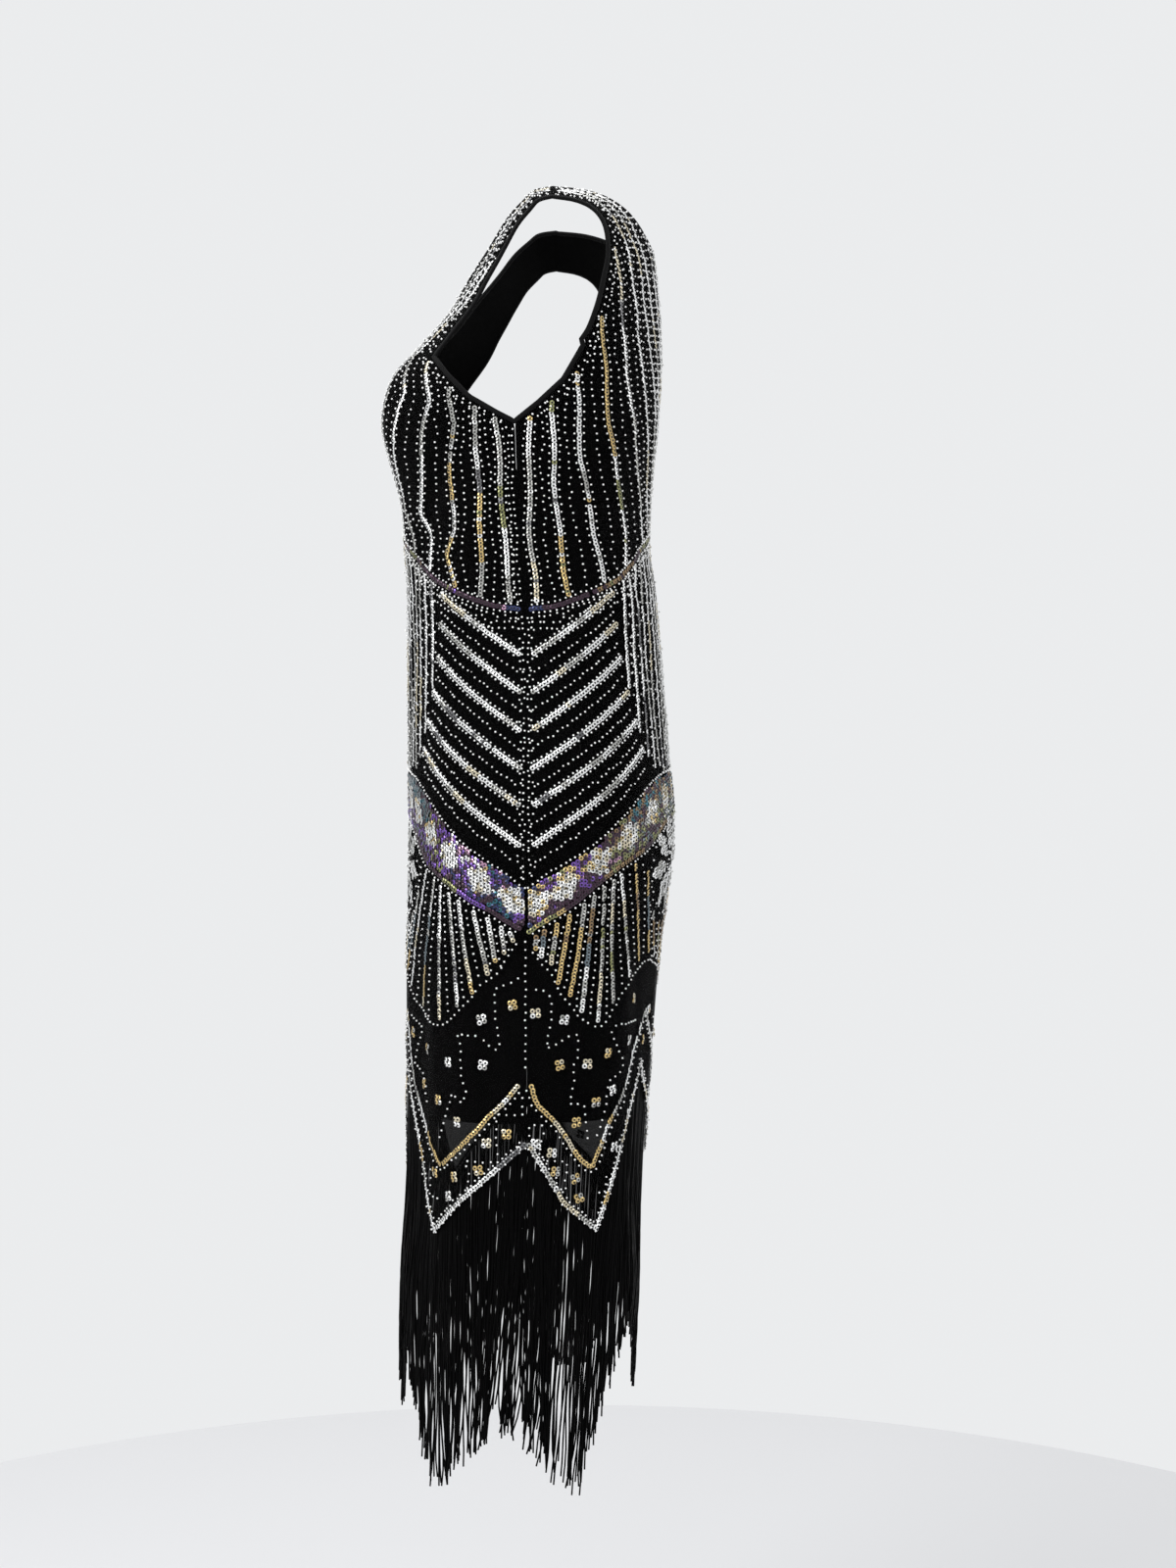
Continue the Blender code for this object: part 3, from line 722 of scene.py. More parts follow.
def bodice_path(rows, is_back, side):
    """A row from the waist up, the mean of the given rows, cut short at the armhole or the neck."""
    numbers = np.arange(0.02, float(number_at(ROWS_FOOT)), 0.02)[::-1]
    level = np.interp(numbers, NUMBERS, -DROPS)
    shares = np.mean([np.interp(level, *zip(*row)) for row in rows], axis=0)
    shares = softened(shares, 0.012) + WANDER * np.sin(level * WANDER_RATE + 20 * shares[0])
    outer, inner = edges_at(numbers, is_back)
    waist = np.interp(shares, *zip(*WAIST)) + ABOVE_WAIST
    inside = (level > waist) & (level < np.mean([row[-1][0] for row in rows]))
    inside &= shares > np.where(outer > 0.002, outer + EDGE_MARGIN, 0)
    inside &= shares < np.where(inner < 0.998, inner - EDGE_MARGIN, 1)
    kept = np.flatnonzero(inside)
    breaks = np.flatnonzero(np.diff(kept) > 1)
    kept = kept[: breaks[0] + 1] if len(breaks) else kept
    return cloth(turn_of(shares[kept], is_back, side), numbers[kept])


for is_back, side in QUARTERS:
    rows = ROWS_BACK if is_back else ROWS_FRONT
    for k, row in enumerate(rows):
        path = bodice_path([row], is_back, side)
        if is_back and k == 3:
            sequins(path, [(0.45, MIXED), (WHOLE, {"gold": 1.0})])
        else:
            sequins(path, MIXED if k < 4 else SILVERS, LONG_STRETCH)
        flanked(path, BESIDE_ROW)
        if k:
            beads(bodice_path([rows[k - 1], row], is_back, side), jitter=LOOSE)
    for share in () if is_back else CENTRE_SHARES:
        column = ((-0.365, share), (-0.180, share))
        beads(bodice_path([column], is_back, side), CENTRE_PITCH, jitter=LOOSE)
print("sewn so far:", sewn_so_far())

# %% [markdown]
# ## Waist
# A dark iridescent line dips round the waist at the sides, with rippling rows of beads under it. Below it
# the centre panel is packed with upright sequin rows, and between that panel and the side seam six
# slanting rows run down to the seam, so that front and back together make a stack of chevrons. Each of
# these is a function of the quarter, and one loop at the end sews all four quarters.

# %% Waist line
# the palettes from the side seam, each up to a share of the way to the centre
WAIST_PARTS = [
    (0.05, {"blue": 0.7, "violet": 0.3}),
    (0.13, {"violet": 0.35, "plum": 0.50, "rose": 0.15}),
    (0.28, {"plum": 0.8, "violet": 0.2}),
    (WHOLE, DARKS),
]
BESIDE_WAIST, WAIST_PITCH = 0.0036, 0.0050
# drop under the waist line, and how many of its corners the row follows
RIPPLES = ((0.0080, 6), (0.0125, 5), (0.0180, 5))


def sew_waist(is_back, side):
    """The dark line, the beads beside it and the ripples under it."""
    line = drawn(WAIST, is_back, side, 0.02)
    sequins(line, WAIST_PARTS)
    flanked(line, BESIDE_WAIST, WAIST_PITCH)
    for drop, reach in RIPPLES:
        lower = [(share, z - drop - 0.0015 * math.sin(31 * share + 300 * drop)) for share, z in WAIST[:reach]]
        beads(drawn(lower, is_back, side, 0.02), pitch=0.0052, jitter=0.0007)


print("waist: %.3f at the side, %.3f at the centre" % (WAIST[0][1], WAIST[-1][1]))

# %% Centre panel
PANEL_EDGE = (
    (0.385, -0.345), (0.40, -0.380), (0.42, -0.420), (0.46, -0.455), (0.52, -0.488), (0.58, -0.503),
)
PANEL_ROWS, PANEL_FIRST, PANEL_SPACING = 11, 0.965, 0.0530
PANEL_FOOT = -0.504
BESIDE_PANEL_ROW, PANEL_PITCH = 0.0052, 0.0085


def height_on(table, share):
    """The height of a line at a share of the quarter."""
    return float(np.interp(share, *zip(*table)))


def sew_centre_panel(is_back, side):
    """Packed upright rows between the waist and the band, each with its beads."""
    for k in range(PANEL_ROWS):
        share = PANEL_FIRST - PANEL_SPACING * k
        top = height_on(WAIST, share) - 0.004
        foot = PANEL_FOOT + 0.010 * (share - 0.6) + 0.003 * ((k // 2) % 2)
        if share < PANEL_EDGE[-1][0]:
            foot = height_on(PANEL_EDGE, share)
        if top - foot < 0.01:
            continue
        row = [(share, top), (share - 0.004, (top + foot) / 2), (share, foot)]
        path = drawn(row, is_back, side, 0.03)
        sequins(path, SILVERS, (0.015, 0.06))
        beads(path, PANEL_PITCH, BESIDE_PANEL_ROW, 0.0009)


print("panel rows in a quarter: at most", PANEL_ROWS)

# %% Chevrons, and one loop for the waist and all that hangs from it
# share and z at the panel, and z at the side seam
CHEVRONS = (
    (0.375, -0.352, -0.407),
    (0.385, -0.378, -0.439),
    (0.40, -0.407, -0.471),
    (0.43, -0.436, -0.503),
    (0.47, -0.461, -0.534),
    (0.505, -0.485, -0.567),
)
BESIDE_SIDE_SEAM = 0.022
BESIDE_CHEVRON, CHEVRON_PITCH = 0.0034, 0.0047
UNDER_CHEVRON = 0.0160
# share and pitch of the bead columns along the side seam
SEAM_COLUMNS = ((0.010, 0.0054), (0.022, 0.0088))


def sew_chevrons(is_back, side):
    """Slanting rows with beads on each side and a row of beads under each, and the columns at the seam."""
    for share, top, foot in CHEVRONS:
        corners = [(share, top), (share * 0.62, top + (foot - top) * 0.42), (BESIDE_SIDE_SEAM, foot)]
        path = drawn(corners, is_back, side, 0.02)
        sequins(path, SILVERS, (0.006, 0.02))
        flanked(path, BESIDE_CHEVRON, CHEVRON_PITCH)
        lower = [(share, height - UNDER_CHEVRON) for share, height in corners]
        beads(drawn(lower, is_back, side, 0.02), pitch=0.0050, jitter=LOOSE)
    for share, pitch in SEAM_COLUMNS:
        beads(drawn([(share, -0.372), (share, -0.595)], is_back, side), pitch=pitch, jitter=0.0008)


for is_back, side in QUARTERS:
    sew_waist(is_back, side)
    sew_centre_panel(is_back, side)
    sew_chevrons(is_back, side)
print("sewn so far:", sewn_so_far())

# %% [markdown]
# ## Diamond band
# A band of sequin patches runs round the hips, low at the sides and high at the centres. Silver blocks
# step along its middle, and dark iridescent patches fill the corners between them. A patch is filled by
# laying a small grid of sequins and keeping those inside its outline, as a needlewoman fills a shape.

# %% Outline and colours of the band
BAND_TOP = (
    (0.0, -0.603), (0.08, -0.589), (0.14, -0.581), (0.24, -0.566), (0.33, -0.549), (0.43, -0.531),
    (0.50, -0.519), (0.60, -0.509), (0.78, -0.503), (1.0, -0.500),
)
FOOT_FRONT = (
    (0.022, -0.637), (0.08, -0.629), (0.135, -0.621), (0.20, -0.614), (0.28, -0.604), (0.37, -0.593),
    (0.46, -0.583), (0.52, -0.571), (0.64, -0.551), (0.82, -0.541), (1.0, -0.538),
)
FOOT_BACK = (
    (0.004, -0.640), (0.055, -0.631), (0.11, -0.624), (0.175, -0.614), (0.225, -0.604), (0.285, -0.594),
    (0.365, -0.583), (0.50, -0.569), (0.64, -0.550), (0.82, -0.541), (1.0, -0.538),
)
BLOCKS_FRONT = (0.052, 0.170, 0.312, 0.432, 0.560, 0.690, 0.820, 0.950)
BLOCKS_BACK = (0.035, 0.132, 0.258, 0.385, 0.535, 0.680, 0.820, 0.950)
BLOCK_HALF_WIDE, BLOCK_HALF_HIGH, BLOCK_LEAN = 0.0090, 0.0105, 0.33
WHITES_FRONT = {"silver": 0.72, "pale_gold": 0.16, "steel": 0.08, "gold": 0.04}
WHITES_BACK = {"silver": 0.45, "pale_gold": 0.20, "steel": 0.20, "gold": 0.15}
# over and under each gap between blocks, from the side seam to the centre
PATCHES_FRONT = (
    ({"blue": 0.5, "plum": 0.3, "violet": 0.2}, {"plum": 0.6, "violet": 0.4}),
    (
        {"blue": 0.35, "violet": 0.30, "plum": 0.15, "rose": 0.12, "teal": 0.08},
        {"blue": 0.55, "plum": 0.25, "teal": 0.20},
    ),
    (
        {"violet": 0.50, "plum": 0.22, "rose": 0.16, "silver": 0.12},
        {"plum": 0.50, "blue": 0.30, "violet": 0.20},
    ),
    ({"violet": 0.38, "plum": 0.50, "olive": 0.12}, {"violet": 0.45, "plum": 0.35, "olive": 0.20}),
    ({"slate": 0.5, "teal": 0.2, "plum": 0.3}, {"plum": 0.5, "violet": 0.3, "slate": 0.2}),
)
PATCHES_BACK = (
    ({"blue": 0.5, "violet": 0.5}, {"plum": 0.7, "blue": 0.3}),
    ({"violet": 0.32, "olive": 0.28, "gold": 0.12, "plum": 0.28}, {"plum": 0.80, "violet": 0.20}),
    (
        {"violet": 0.40, "gold": 0.28, "olive": 0.14, "plum": 0.18},
        {"plum": 0.76, "rose": 0.08, "violet": 0.16},
    ),
    ({"olive": 0.30, "plum": 0.45, "bronze": 0.25}, {"olive": 0.40, "plum": 0.42, "rose": 0.18}),
    ({"teal": 0.35, "bronze": 0.30, "plum": 0.35}, {"plum": 0.40, "slate": 0.30, "olive": 0.30}),
)
print("blocks in a quarter: %d front, %d back" % (len(BLOCKS_FRONT), len(BLOCKS_BACK)))

# %% Fill a shape with sequins
PATCH_PITCH = 0.0031
CLEAR_OF_SEAM, CLEAR_OF_CENTRE = 0.008, 0.994


def scattered(shares, heights, is_back, side, chosen):
    """One sequin at each share and height, in the finish chosen for it."""
    inside = (shares > CLEAR_OF_SEAM) & (shares < CLEAR_OF_CENTRE)
    at, out = cloth(turn_of(shares[inside], is_back, side), number_at(heights[inside]))
    thread = np.cross(out, [0.0, 0.0, 1.0])
    for finish in sorted(set(chosen[inside])):
        ours = chosen[inside] == finish
        sew(str(finish), at[ours], out[ours], thread[ours], SEQUIN_LIFT, 0.0003)


def picked(palette, count):
    """A finish for each of a count of sequins, each drawn by itself."""
    weights = np.array(list(palette.values()), float)
    return rng.choice(list(palette), count, p=weights / weights.sum())


def band(foot_line, blocks, whites, patches, is_back, side):
    """The whole band on one grid of sequins: white blocks, and mixed colours over and under the gaps."""
    shares, heights, chosen = [], [], []
    middles = [(height_on(BAND_TOP, b) + height_on(foot_line, b)) / 2 for b in blocks]
    for share in np.arange(0.014, 0.99, PATCH_PITCH / LAP_LENGTH):
        top, foot = height_on(BAND_TOP, share) - 0.0035, height_on(foot_line, share) + 0.0048
        gap = min(int(np.searchsorted(blocks, share)), len(patches) - 1)
        for height in np.arange(foot, top, PATCH_PITCH):
            palette = patches[gap][int(height < (top + foot) / 2)]
            for centre, middle in zip(blocks, middles):
                up = height - middle
                right = (share - centre) * LAP_LENGTH - BLOCK_LEAN * up
                if abs(right) < BLOCK_HALF_WIDE and abs(up) < BLOCK_HALF_HIGH:
                    palette = whites
            shares.append(share)
            heights.append(height)
            chosen.append(picked(palette, 1)[0])
    scattered(np.array(shares), np.array(heights), is_back, side, np.array(chosen))


print("grid of a patch: %.1f mm" % (1000 * PATCH_PITCH))

# %% Edges of the band
FOOT_PARTS_FRONT = [
    (0.14, {"plum": 0.8, "rose": 0.2}),
    (0.26, {"violet": 0.7, "plum": 0.3}),
    (0.34, {"olive": 0.8, "plum": 0.2}),
    (WHOLE, {"violet": 0.6, "plum": 0.4}),
]
FOOT_PARTS_BACK = [
    (0.14, {"gold": 0.5, "olive": 0.5}),
    (0.30, {"plum": 0.8, "violet": 0.2}),
    (0.42, {"olive": 0.5, "bronze": 0.5}),
    (WHOLE, DARKS),
]


def sew_band(is_back, side):
    """The filled band, beads on its upper edge, and sequins with beads on its lower edge."""
    if is_back:
        foot_line, parts = FOOT_BACK, FOOT_PARTS_BACK
        band(foot_line, BLOCKS_BACK, WHITES_BACK, PATCHES_BACK, is_back, side)
    else:
        foot_line, parts = FOOT_FRONT, FOOT_PARTS_FRONT
        band(foot_line, BLOCKS_FRONT, WHITES_FRONT, PATCHES_FRONT, is_back, side)
    beads(drawn(BAND_TOP, is_back, side, 0.015), pitch=0.0047)
    foot = drawn(foot_line, is_back, side, 0.012)
    sequins(foot, parts)
    beads(foot, pitch=0.0052, offset=-0.0038)


print("stretches on the lower edge:", len(FOOT_PARTS_FRONT), len(FOOT_PARTS_BACK))

# %% [markdown]
# ## Flowers
# One big silver flower sits under the band near the centre of each quarter. Its petals are ovals filled
# with sequins in the same way as the band, set round a small ring of beads, and a wide ring frames it.

# %% Flowers, and one loop for them and the band
FLOWER_SHARE, FLOWER_HEIGHT = 0.745, -0.584
PETALS, FIRST_PETAL = 8, 0.08
PETAL_FROM_CENTRE, PETAL_HALF_LONG, PETAL_HALF_WIDE = 0.0285, 0.0145, 0.0062
PETAL_COLOURS = {"silver": 0.7, "steel": 0.3}
# radius and pitch of the rings of beads
FLOWER_RINGS = ((0.0095, 0.0045), (0.0470, 0.0060))


def petal(share, height, turn, is_back, side):
    """An oval filled with sequins, turned on the cloth."""
    a = np.arange(-PETAL_HALF_LONG, PETAL_HALF_LONG + 1e-6, PATCH_PITCH)
    b = np.arange(-PETAL_HALF_WIDE, PETAL_HALF_WIDE + 1e-6, PATCH_PITCH)
    along, across = [v.ravel() for v in np.meshgrid(a, b)]
    inside = (along / PETAL_HALF_LONG) ** 2 + (across / PETAL_HALF_WIDE) ** 2 <= 1.05
    along, across = along[inside], across[inside]
    shares = share + (along * math.cos(turn) - across * math.sin(turn)) / LAP_LENGTH
    heights = height + along * math.sin(turn) + across * math.cos(turn)
    scattered(shares, heights, is_back, side, picked(PETAL_COLOURS, len(shares)))


def round_flower(radius, way):
    """The share and height at a distance and a direction from the middle of a flower."""
    return FLOWER_SHARE + radius * math.cos(way) / LAP_LENGTH, FLOWER_HEIGHT + radius * math.sin(way)


for is_back, side in QUARTERS:
    sew_band(is_back, side)
    for k in range(PETALS):
        way = math.pi * (2 * k / PETALS + FIRST_PETAL)
        petal(*round_flower(PETAL_FROM_CENTRE, way), way, is_back, side)
    for radius, pitch in FLOWER_RINGS:
        halo = [round_flower(radius, way) for way in np.linspace(0, 2 * math.pi, 33)]
        beads(drawn(halo, is_back, side), pitch=pitch, jitter=0.0010)
print("sewn so far:", sewn_so_far())

# %% [markdown]
# ## Fans
# Below the band, sequin rows spread like the ribs of a fan and end in a scalloped line of beads. A rib is
# bright at its top and darker lower down, and its tip is often gold.

# %% Ribs and scallops
# the share of each rib at its top and at its foot
RIBS_FRONT = (
    (0.060, 0.045), (0.092, 0.078), (0.140, 0.110), (0.195, 0.142), (0.258, 0.202), (0.308, 0.265),
    (0.355, 0.355), (0.395, 0.505), (0.460, 0.638), (0.535, 0.720), (0.620, 0.780), (0.700, 0.830),
    (0.780, 0.880), (0.860, 0.930), (0.940, 0.975),
)
RIBS_BACK = (
    (0.032, 0.030), (0.062, 0.050), (0.105, 0.082), (0.150, 0.110), (0.202, 0.152), (0.238, 0.200),
    (0.278, 0.260), (0.318, 0.328), (0.352, 0.422), (0.425, 0.515), (0.512, 0.600), (0.600, 0.680),
    (0.690, 0.760), (0.780, 0.840), (0.870, 0.910), (0.950, 0.975),
)
SCALLOP_FRONT = (
    (0.030, -0.648), (0.055, -0.655), (0.095, -0.671), (0.128, -0.679), (0.175, -0.684), (0.195, -0.694),
    (0.23, -0.701), (0.27, -0.709), (0.325, -0.720), (0.39, -0.721), (0.48, -0.714), (0.58, -0.706),
    (0.66, -0.694), (0.74, -0.684), (0.86, -0.686), (1.0, -0.700),
)
SCALLOP_BACK = (
    (0.015, -0.655), (0.05, -0.666), (0.085, -0.673), (0.11, -0.688), (0.155, -0.701), (0.198, -0.713),
    (0.255, -0.721), (0.28, -0.720), (0.31, -0.712), (0.358, -0.696), (0.42, -0.686), (0.48, -0.677),
    (0.60, -0.668), (0.80, -0.680), (1.0, -0.700),
)
print("ribs in a quarter: %d front, %d back" % (len(RIBS_FRONT), len(RIBS_BACK)))

# %% Sew the fans
FLOWER_REACH = 0.054
UNDER_BAND, ABOVE_SCALLOP = 0.0075, 0.0055
GOLD_TIPS_FRONT, GOLD_TIPS_BACK = 0.4, 0.55
UPPERS_BACK = (SILVERS, {"bronze": 0.5, "steel": 0.5}, {"gold": 0.6, "bronze": 0.4})
MIDDLES_BACK = ({"slate": 0.8, "smoke": 0.2}, {"gold": 0.7, "bronze": 0.3}, {"steel": 0.6, "olive": 0.4})
UPPER_FRONT = {"silver": 0.8, "steel": 0.2}
MIDDLES_FRONT = (
    {"steel": 0.5, "smoke": 0.5},
    {"silver": 0.6, "pale_gold": 0.4},
    {"slate": 0.6, "steel": 0.4},
)


def fan_parts(is_back):
    """Palettes along one rib of a fan: bright at the band, darker below, and often gold at the tip."""
    first, second = rng.uniform(0.25, 0.5), rng.uniform(0.6, 0.85)
    tip = GOLDS if rng.random() < (GOLD_TIPS_BACK if is_back else GOLD_TIPS_FRONT) else SILVERS
    upper = UPPERS_BACK[rng.integers(3)] if is_back else UPPER_FRONT
    middle = (MIDDLES_BACK if is_back else MIDDLES_FRONT)[rng.integers(3)]
    return [(first, upper), (second, middle), (WHOLE, tip)]


def rib_top(foot_line, share):
    """A rib starts under the band, or under the flower where it hangs over the rib."""
    below = math.sqrt(max(0.0, FLOWER_REACH**2 - ((share - FLOWER_SHARE) * LAP_LENGTH) ** 2))
    return min(height_on(foot_line, share) - UNDER_BAND, FLOWER_HEIGHT - below if below else 0.0)


for is_back, side in QUARTERS:
    scallop = SCALLOP_BACK if is_back else SCALLOP_FRONT
    foot_line = FOOT_BACK if is_back else FOOT_FRONT
    ribs = RIBS_BACK if is_back else RIBS_FRONT
    beads(drawn(scallop, is_back, side, 0.010), pitch=0.0060)
    for k, (top, foot) in enumerate(ribs):
        start, end = rib_top(foot_line, top), height_on(scallop, foot) + ABOVE_SCALLOP
        bend = (top * 0.55 + foot * 0.45 - 0.006 * math.sin(3 * k), (start + end) / 2)
        path = drawn([(top, start), bend, (foot, end)], is_back, side, 0.03)
        sequins(path, fan_parts(is_back), (0.008, 0.025))
        if k + 1 < len(ribs):
            top, foot = (top + ribs[k + 1][0]) / 2, (foot + ribs[k + 1][1]) / 2
            start, end = rib_top(foot_line, top) - 0.002, height_on(scallop, foot) + 0.003
            beads(drawn([(top, start), (foot, end)], is_back, side), pitch=0.0061)
    if not is_back:
        beads(drawn([(0.004, -0.645), (0.004, -0.757)], is_back, side), pitch=0.0065)
print("sewn so far:", sewn_so_far())

# %% [markdown]
# ## Stepped lines and clovers
# The rest of the skirt is scattered with clovers, four sequins round a point, between stepped lines of
# beads. Each line is a list of its corners and each clover a single place, charted once for the front
# and once for the back.

# %% Chart of the stepped lines and the clovers
STEPS_FRONT = (
    (
        (0.022, -0.677), (0.058, -0.682), (0.118, -0.688), (0.112, -0.713), (0.095, -0.735),
        (0.115, -0.738), (0.178, -0.727), (0.262, -0.726), (0.242, -0.737), (0.240, -0.760),
        (0.215, -0.775), (0.238, -0.784), (0.282, -0.776), (0.312, -0.792), (0.352, -0.816),
    ),
    ((0.66, -0.718), (0.525, -0.727), (0.572, -0.743), (0.612, -0.759), (0.508, -0.768), (0.458, -0.792)),
    (
        (0.015, -0.774), (0.015, -0.792), (0.108, -0.792), (0.108, -0.816), (0.102, -0.832),
        (0.225, -0.832), (0.208, -0.842), (0.210, -0.856), (0.230, -0.864),
    ),
    ((0.420, -0.842), (0.420, -0.868), (0.370, -0.868)),
    ((0.780, -0.720), (0.780, -0.752), (0.850, -0.752), (0.850, -0.775)),
)
STEPS_BACK = (
    (
        (0.012, -0.687), (0.058, -0.688), (0.088, -0.694), (0.085, -0.713), (0.065, -0.737),
        (0.095, -0.735), (0.155, -0.727), (0.190, -0.726), (0.192, -0.743), (0.175, -0.752),
        (0.180, -0.760), (0.162, -0.784), (0.218, -0.785), (0.228, -0.800), (0.235, -0.816),
    ),
    (
        (0.522, -0.720), (0.348, -0.720), (0.322, -0.727), (0.365, -0.743), (0.388, -0.751),
        (0.380, -0.760), (0.318, -0.767), (0.300, -0.792), (0.270, -0.816),
    ),
    (
        (0.010, -0.812), (0.006, -0.800), (0.052, -0.800), (0.062, -0.808), (0.048, -0.817),
        (0.055, -0.830), (0.150, -0.832), (0.155, -0.840), (0.142, -0.848), (0.150, -0.856),
    ),
    ((0.320, -0.845), (0.320, -0.862), (0.270, -0.862)),
    ((0.780, -0.720), (0.780, -0.750), (0.850, -0.750), (0.850, -0.772)),
)
CLOVERS_FRONT = (
    (0.050, -0.700), (0.165, -0.713), (0.455, -0.743), (0.308, -0.751), (0.158, -0.751), (0.515, -0.775),
    (0.362, -0.784), (0.260, -0.800), (0.145, -0.816), (0.072, -0.808), (0.172, -0.839), (0.275, -0.847),
    (0.390, -0.847), (0.305, -0.864), (0.630, -0.733), (0.740, -0.728), (0.900, -0.745), (0.850, -0.800),
    (0.955, -0.820),
)
CLOVERS_BACK = (
    (0.030, -0.707), (0.135, -0.713), (0.120, -0.751), (0.228, -0.751), (0.310, -0.743), (0.440, -0.735),
    (0.480, -0.700), (0.338, -0.775), (0.265, -0.784), (0.470, -0.800), (0.032, -0.816), (0.092, -0.824),
    (0.105, -0.840), (0.188, -0.847), (0.205, -0.864), (0.190, -0.800), (0.358, -0.824), (0.640, -0.740),
    (0.700, -0.715), (0.880, -0.740), (0.830, -0.792), (0.950, -0.812),
)
print("clovers in a quarter: %d front, %d back" % (len(CLOVERS_FRONT), len(CLOVERS_BACK)))

# %% Sew the stepped lines and the clovers
CLOVER_REACH = 0.0030
STEP_PITCH = 0.0068
# the colour of most leaves of a clover, and of the others
CLOVER_COLOURS = (("silver", "steel"), ("pale_gold", "silver"), ("gold", "pale_gold"), ("gold", "steel"))
OTHER_LEAF = 0.3
for is_back, side in QUARTERS:
    for corners in STEPS_BACK if is_back else STEPS_FRONT:
        beads(drawn(corners, is_back, side), pitch=STEP_PITCH)
    for share, height in CLOVERS_BACK if is_back else CLOVERS_FRONT:
        at, out = cloth(turn_of([share], is_back, side), number_at([height]))
        right = unit(np.cross([0.0, 0.0, 1.0], out[0]))
        up = np.cross(out[0], right)
        start = rng.uniform(0.5, 1.1)
        pair = CLOVER_COLOURS[rng.integers(4)]
        for k in range(4):
            way = start + k * math.pi / 2
            thread = math.cos(way) * right + math.sin(way) * up
            finish = pair[int(rng.random() < OTHER_LEAF)]
            sew(finish, at + CLOVER_REACH * thread, out, thread[None], SEQUIN_LIFT + 0.0002)
print("sewn so far:", sewn_so_far())

# %% [markdown]
# ## Hem
# A zigzag of gold and silver sequins runs above the hem, and a beaded line of sequins follows its cut edge.
# The neckline and the armholes have two lines of beads each.

# %% Zigzag above the hem, and the hem edge
ZIGZAG_FRONT = (
    (0.030, -0.767), (0.08, -0.782), (0.132, -0.793), (0.188, -0.808), (0.26, -0.824), (0.352, -0.840),
    (0.452, -0.817), (0.56, -0.795), (0.622, -0.775), (0.72, -0.715), (1.0, -0.806),
)
ZIGZAG_BACK = (
    (0.015, -0.767), (0.035, -0.783), (0.075, -0.792), (0.118, -0.802), (0.16, -0.816), (0.205, -0.831),
    (0.255, -0.840), (0.30, -0.816), (0.332, -0.800), (0.39, -0.784), (0.50, -0.750), (0.64, -0.712),
    (1.0, -0.792),
)
ZIGZAG_PARTS = [(0.38, {"gold": 0.55, "pale_gold": 0.30, "silver": 0.15}), (WHOLE, SILVERS)]
HEM_COLOURS = {"silver": 0.50, "pale_gold": 0.18, "gold": 0.10, "steel": 0.16, "smoke": 0.06}
HEM_INSIDE = 0.0032
for is_back, side in QUARTERS:
    path = drawn(ZIGZAG_BACK if is_back else ZIGZAG_FRONT, is_back, side, 0.006)
    sequins(path, ZIGZAG_PARTS, (0.012, 0.04))
    beads(path, pitch=0.0062, offset=-0.0046)
    edge = HEM_BACK if is_back else HEM_FRONT
    path = drawn([(max(share, 0.004), height + HEM_INSIDE) for share, height in edge], is_back, side)
    sequins(path, HEM_COLOURS, (0.01, 0.03))
    beads(path, pitch=0.0050, offset=0.0038, jitter=LOOSE)
    beads(path, pitch=0.0070, offset=-0.0020, jitter=0.0005)
print("sewn so far:", sewn_so_far())

# %% Beads along the neckline and the armholes
EDGE_INSETS, EDGE_PITCH = (0.0045, 0.0100), 0.0072


def edge_path(is_back, side, is_armhole, inset):
    """The path that runs beside the neck or the armhole, from the shoulder seam down."""
    number = EDGE_NUMBERS[1:]
    outer, inner = edges_at(number, is_back)
    keep = (outer > 0.012) if is_armhole else (inner < 0.985)
    last = int(np.argmin(keep)) if not keep.all() else len(keep)
    inset = inset / LAP_LENGTH
    share = outer[:last] + inset if is_armhole else inner[:last] - inset
    return cloth(turn_of(share, is_back, side), number[:last])


for is_back, side in QUARTERS:
    for is_armhole in (True, False):
        for inset in EDGE_INSETS:
            beads(edge_path(is_back, side, is_armhole, inset), EDGE_PITCH, jitter=LOOSE)

sewn = {key: np.concatenate(made) for key, made in sorted(sewn.items())}
for (label, finish), made in sewn.items():
    print(label, finish, len(made))

# %% [markdown]
# ## Finishes
# A finish is worked out by nodes, and its maths is written as ordinary Python. The class below wraps the
# output of a node, so that adding or multiplying two of them adds the Math node that does it. What is the
# same all over a finish is set straight on the shader.


# %% A wire between shader nodes
class Wire:
    """An output of a node. Arithmetic adds Math nodes, and node() adds any other node."""

    def __init__(self, tree, socket=None):
        self.tree, self.socket = tree, socket

    def node(self, kind, settings=None, values=None, output=0):
        made = self.tree.nodes.new(kind)
        for name, value in (settings or {}).items():
            setattr(made, name, value)
        for name, value in (values or {}).items():
            if isinstance(value, Wire):
                self.tree.links.new(value.socket, made.inputs[name])
            else:
                made.inputs[name].default_value = value
        return Wire(self.tree, made.outputs[output])

    def maths(self, operation, first, second=0.0):
        return self.node("ShaderNodeMath", {"operation": operation}, {0: first, 1: second})

    def __add__(self, other):
        return self.maths("ADD", self, other)

    __radd__ = __add__

    def __sub__(self, other):
        return self.maths("SUBTRACT", self, other)

    def __rsub__(self, other):
        return self.maths("SUBTRACT", other, self)

    def __mul__(self, other):
        return self.maths("MULTIPLY", self, other)

    __rmul__ = __mul__

    def sine(self):
        return self.maths("SINE", self)

    def between(self, low, high):
        """Two colours, mixed by this value."""
        return self.node(
            "ShaderNodeMix", {"data_type": "RGBA"}, {"Factor": self, 6: (*low, 1), 7: (*high, 1)}, 2
        )


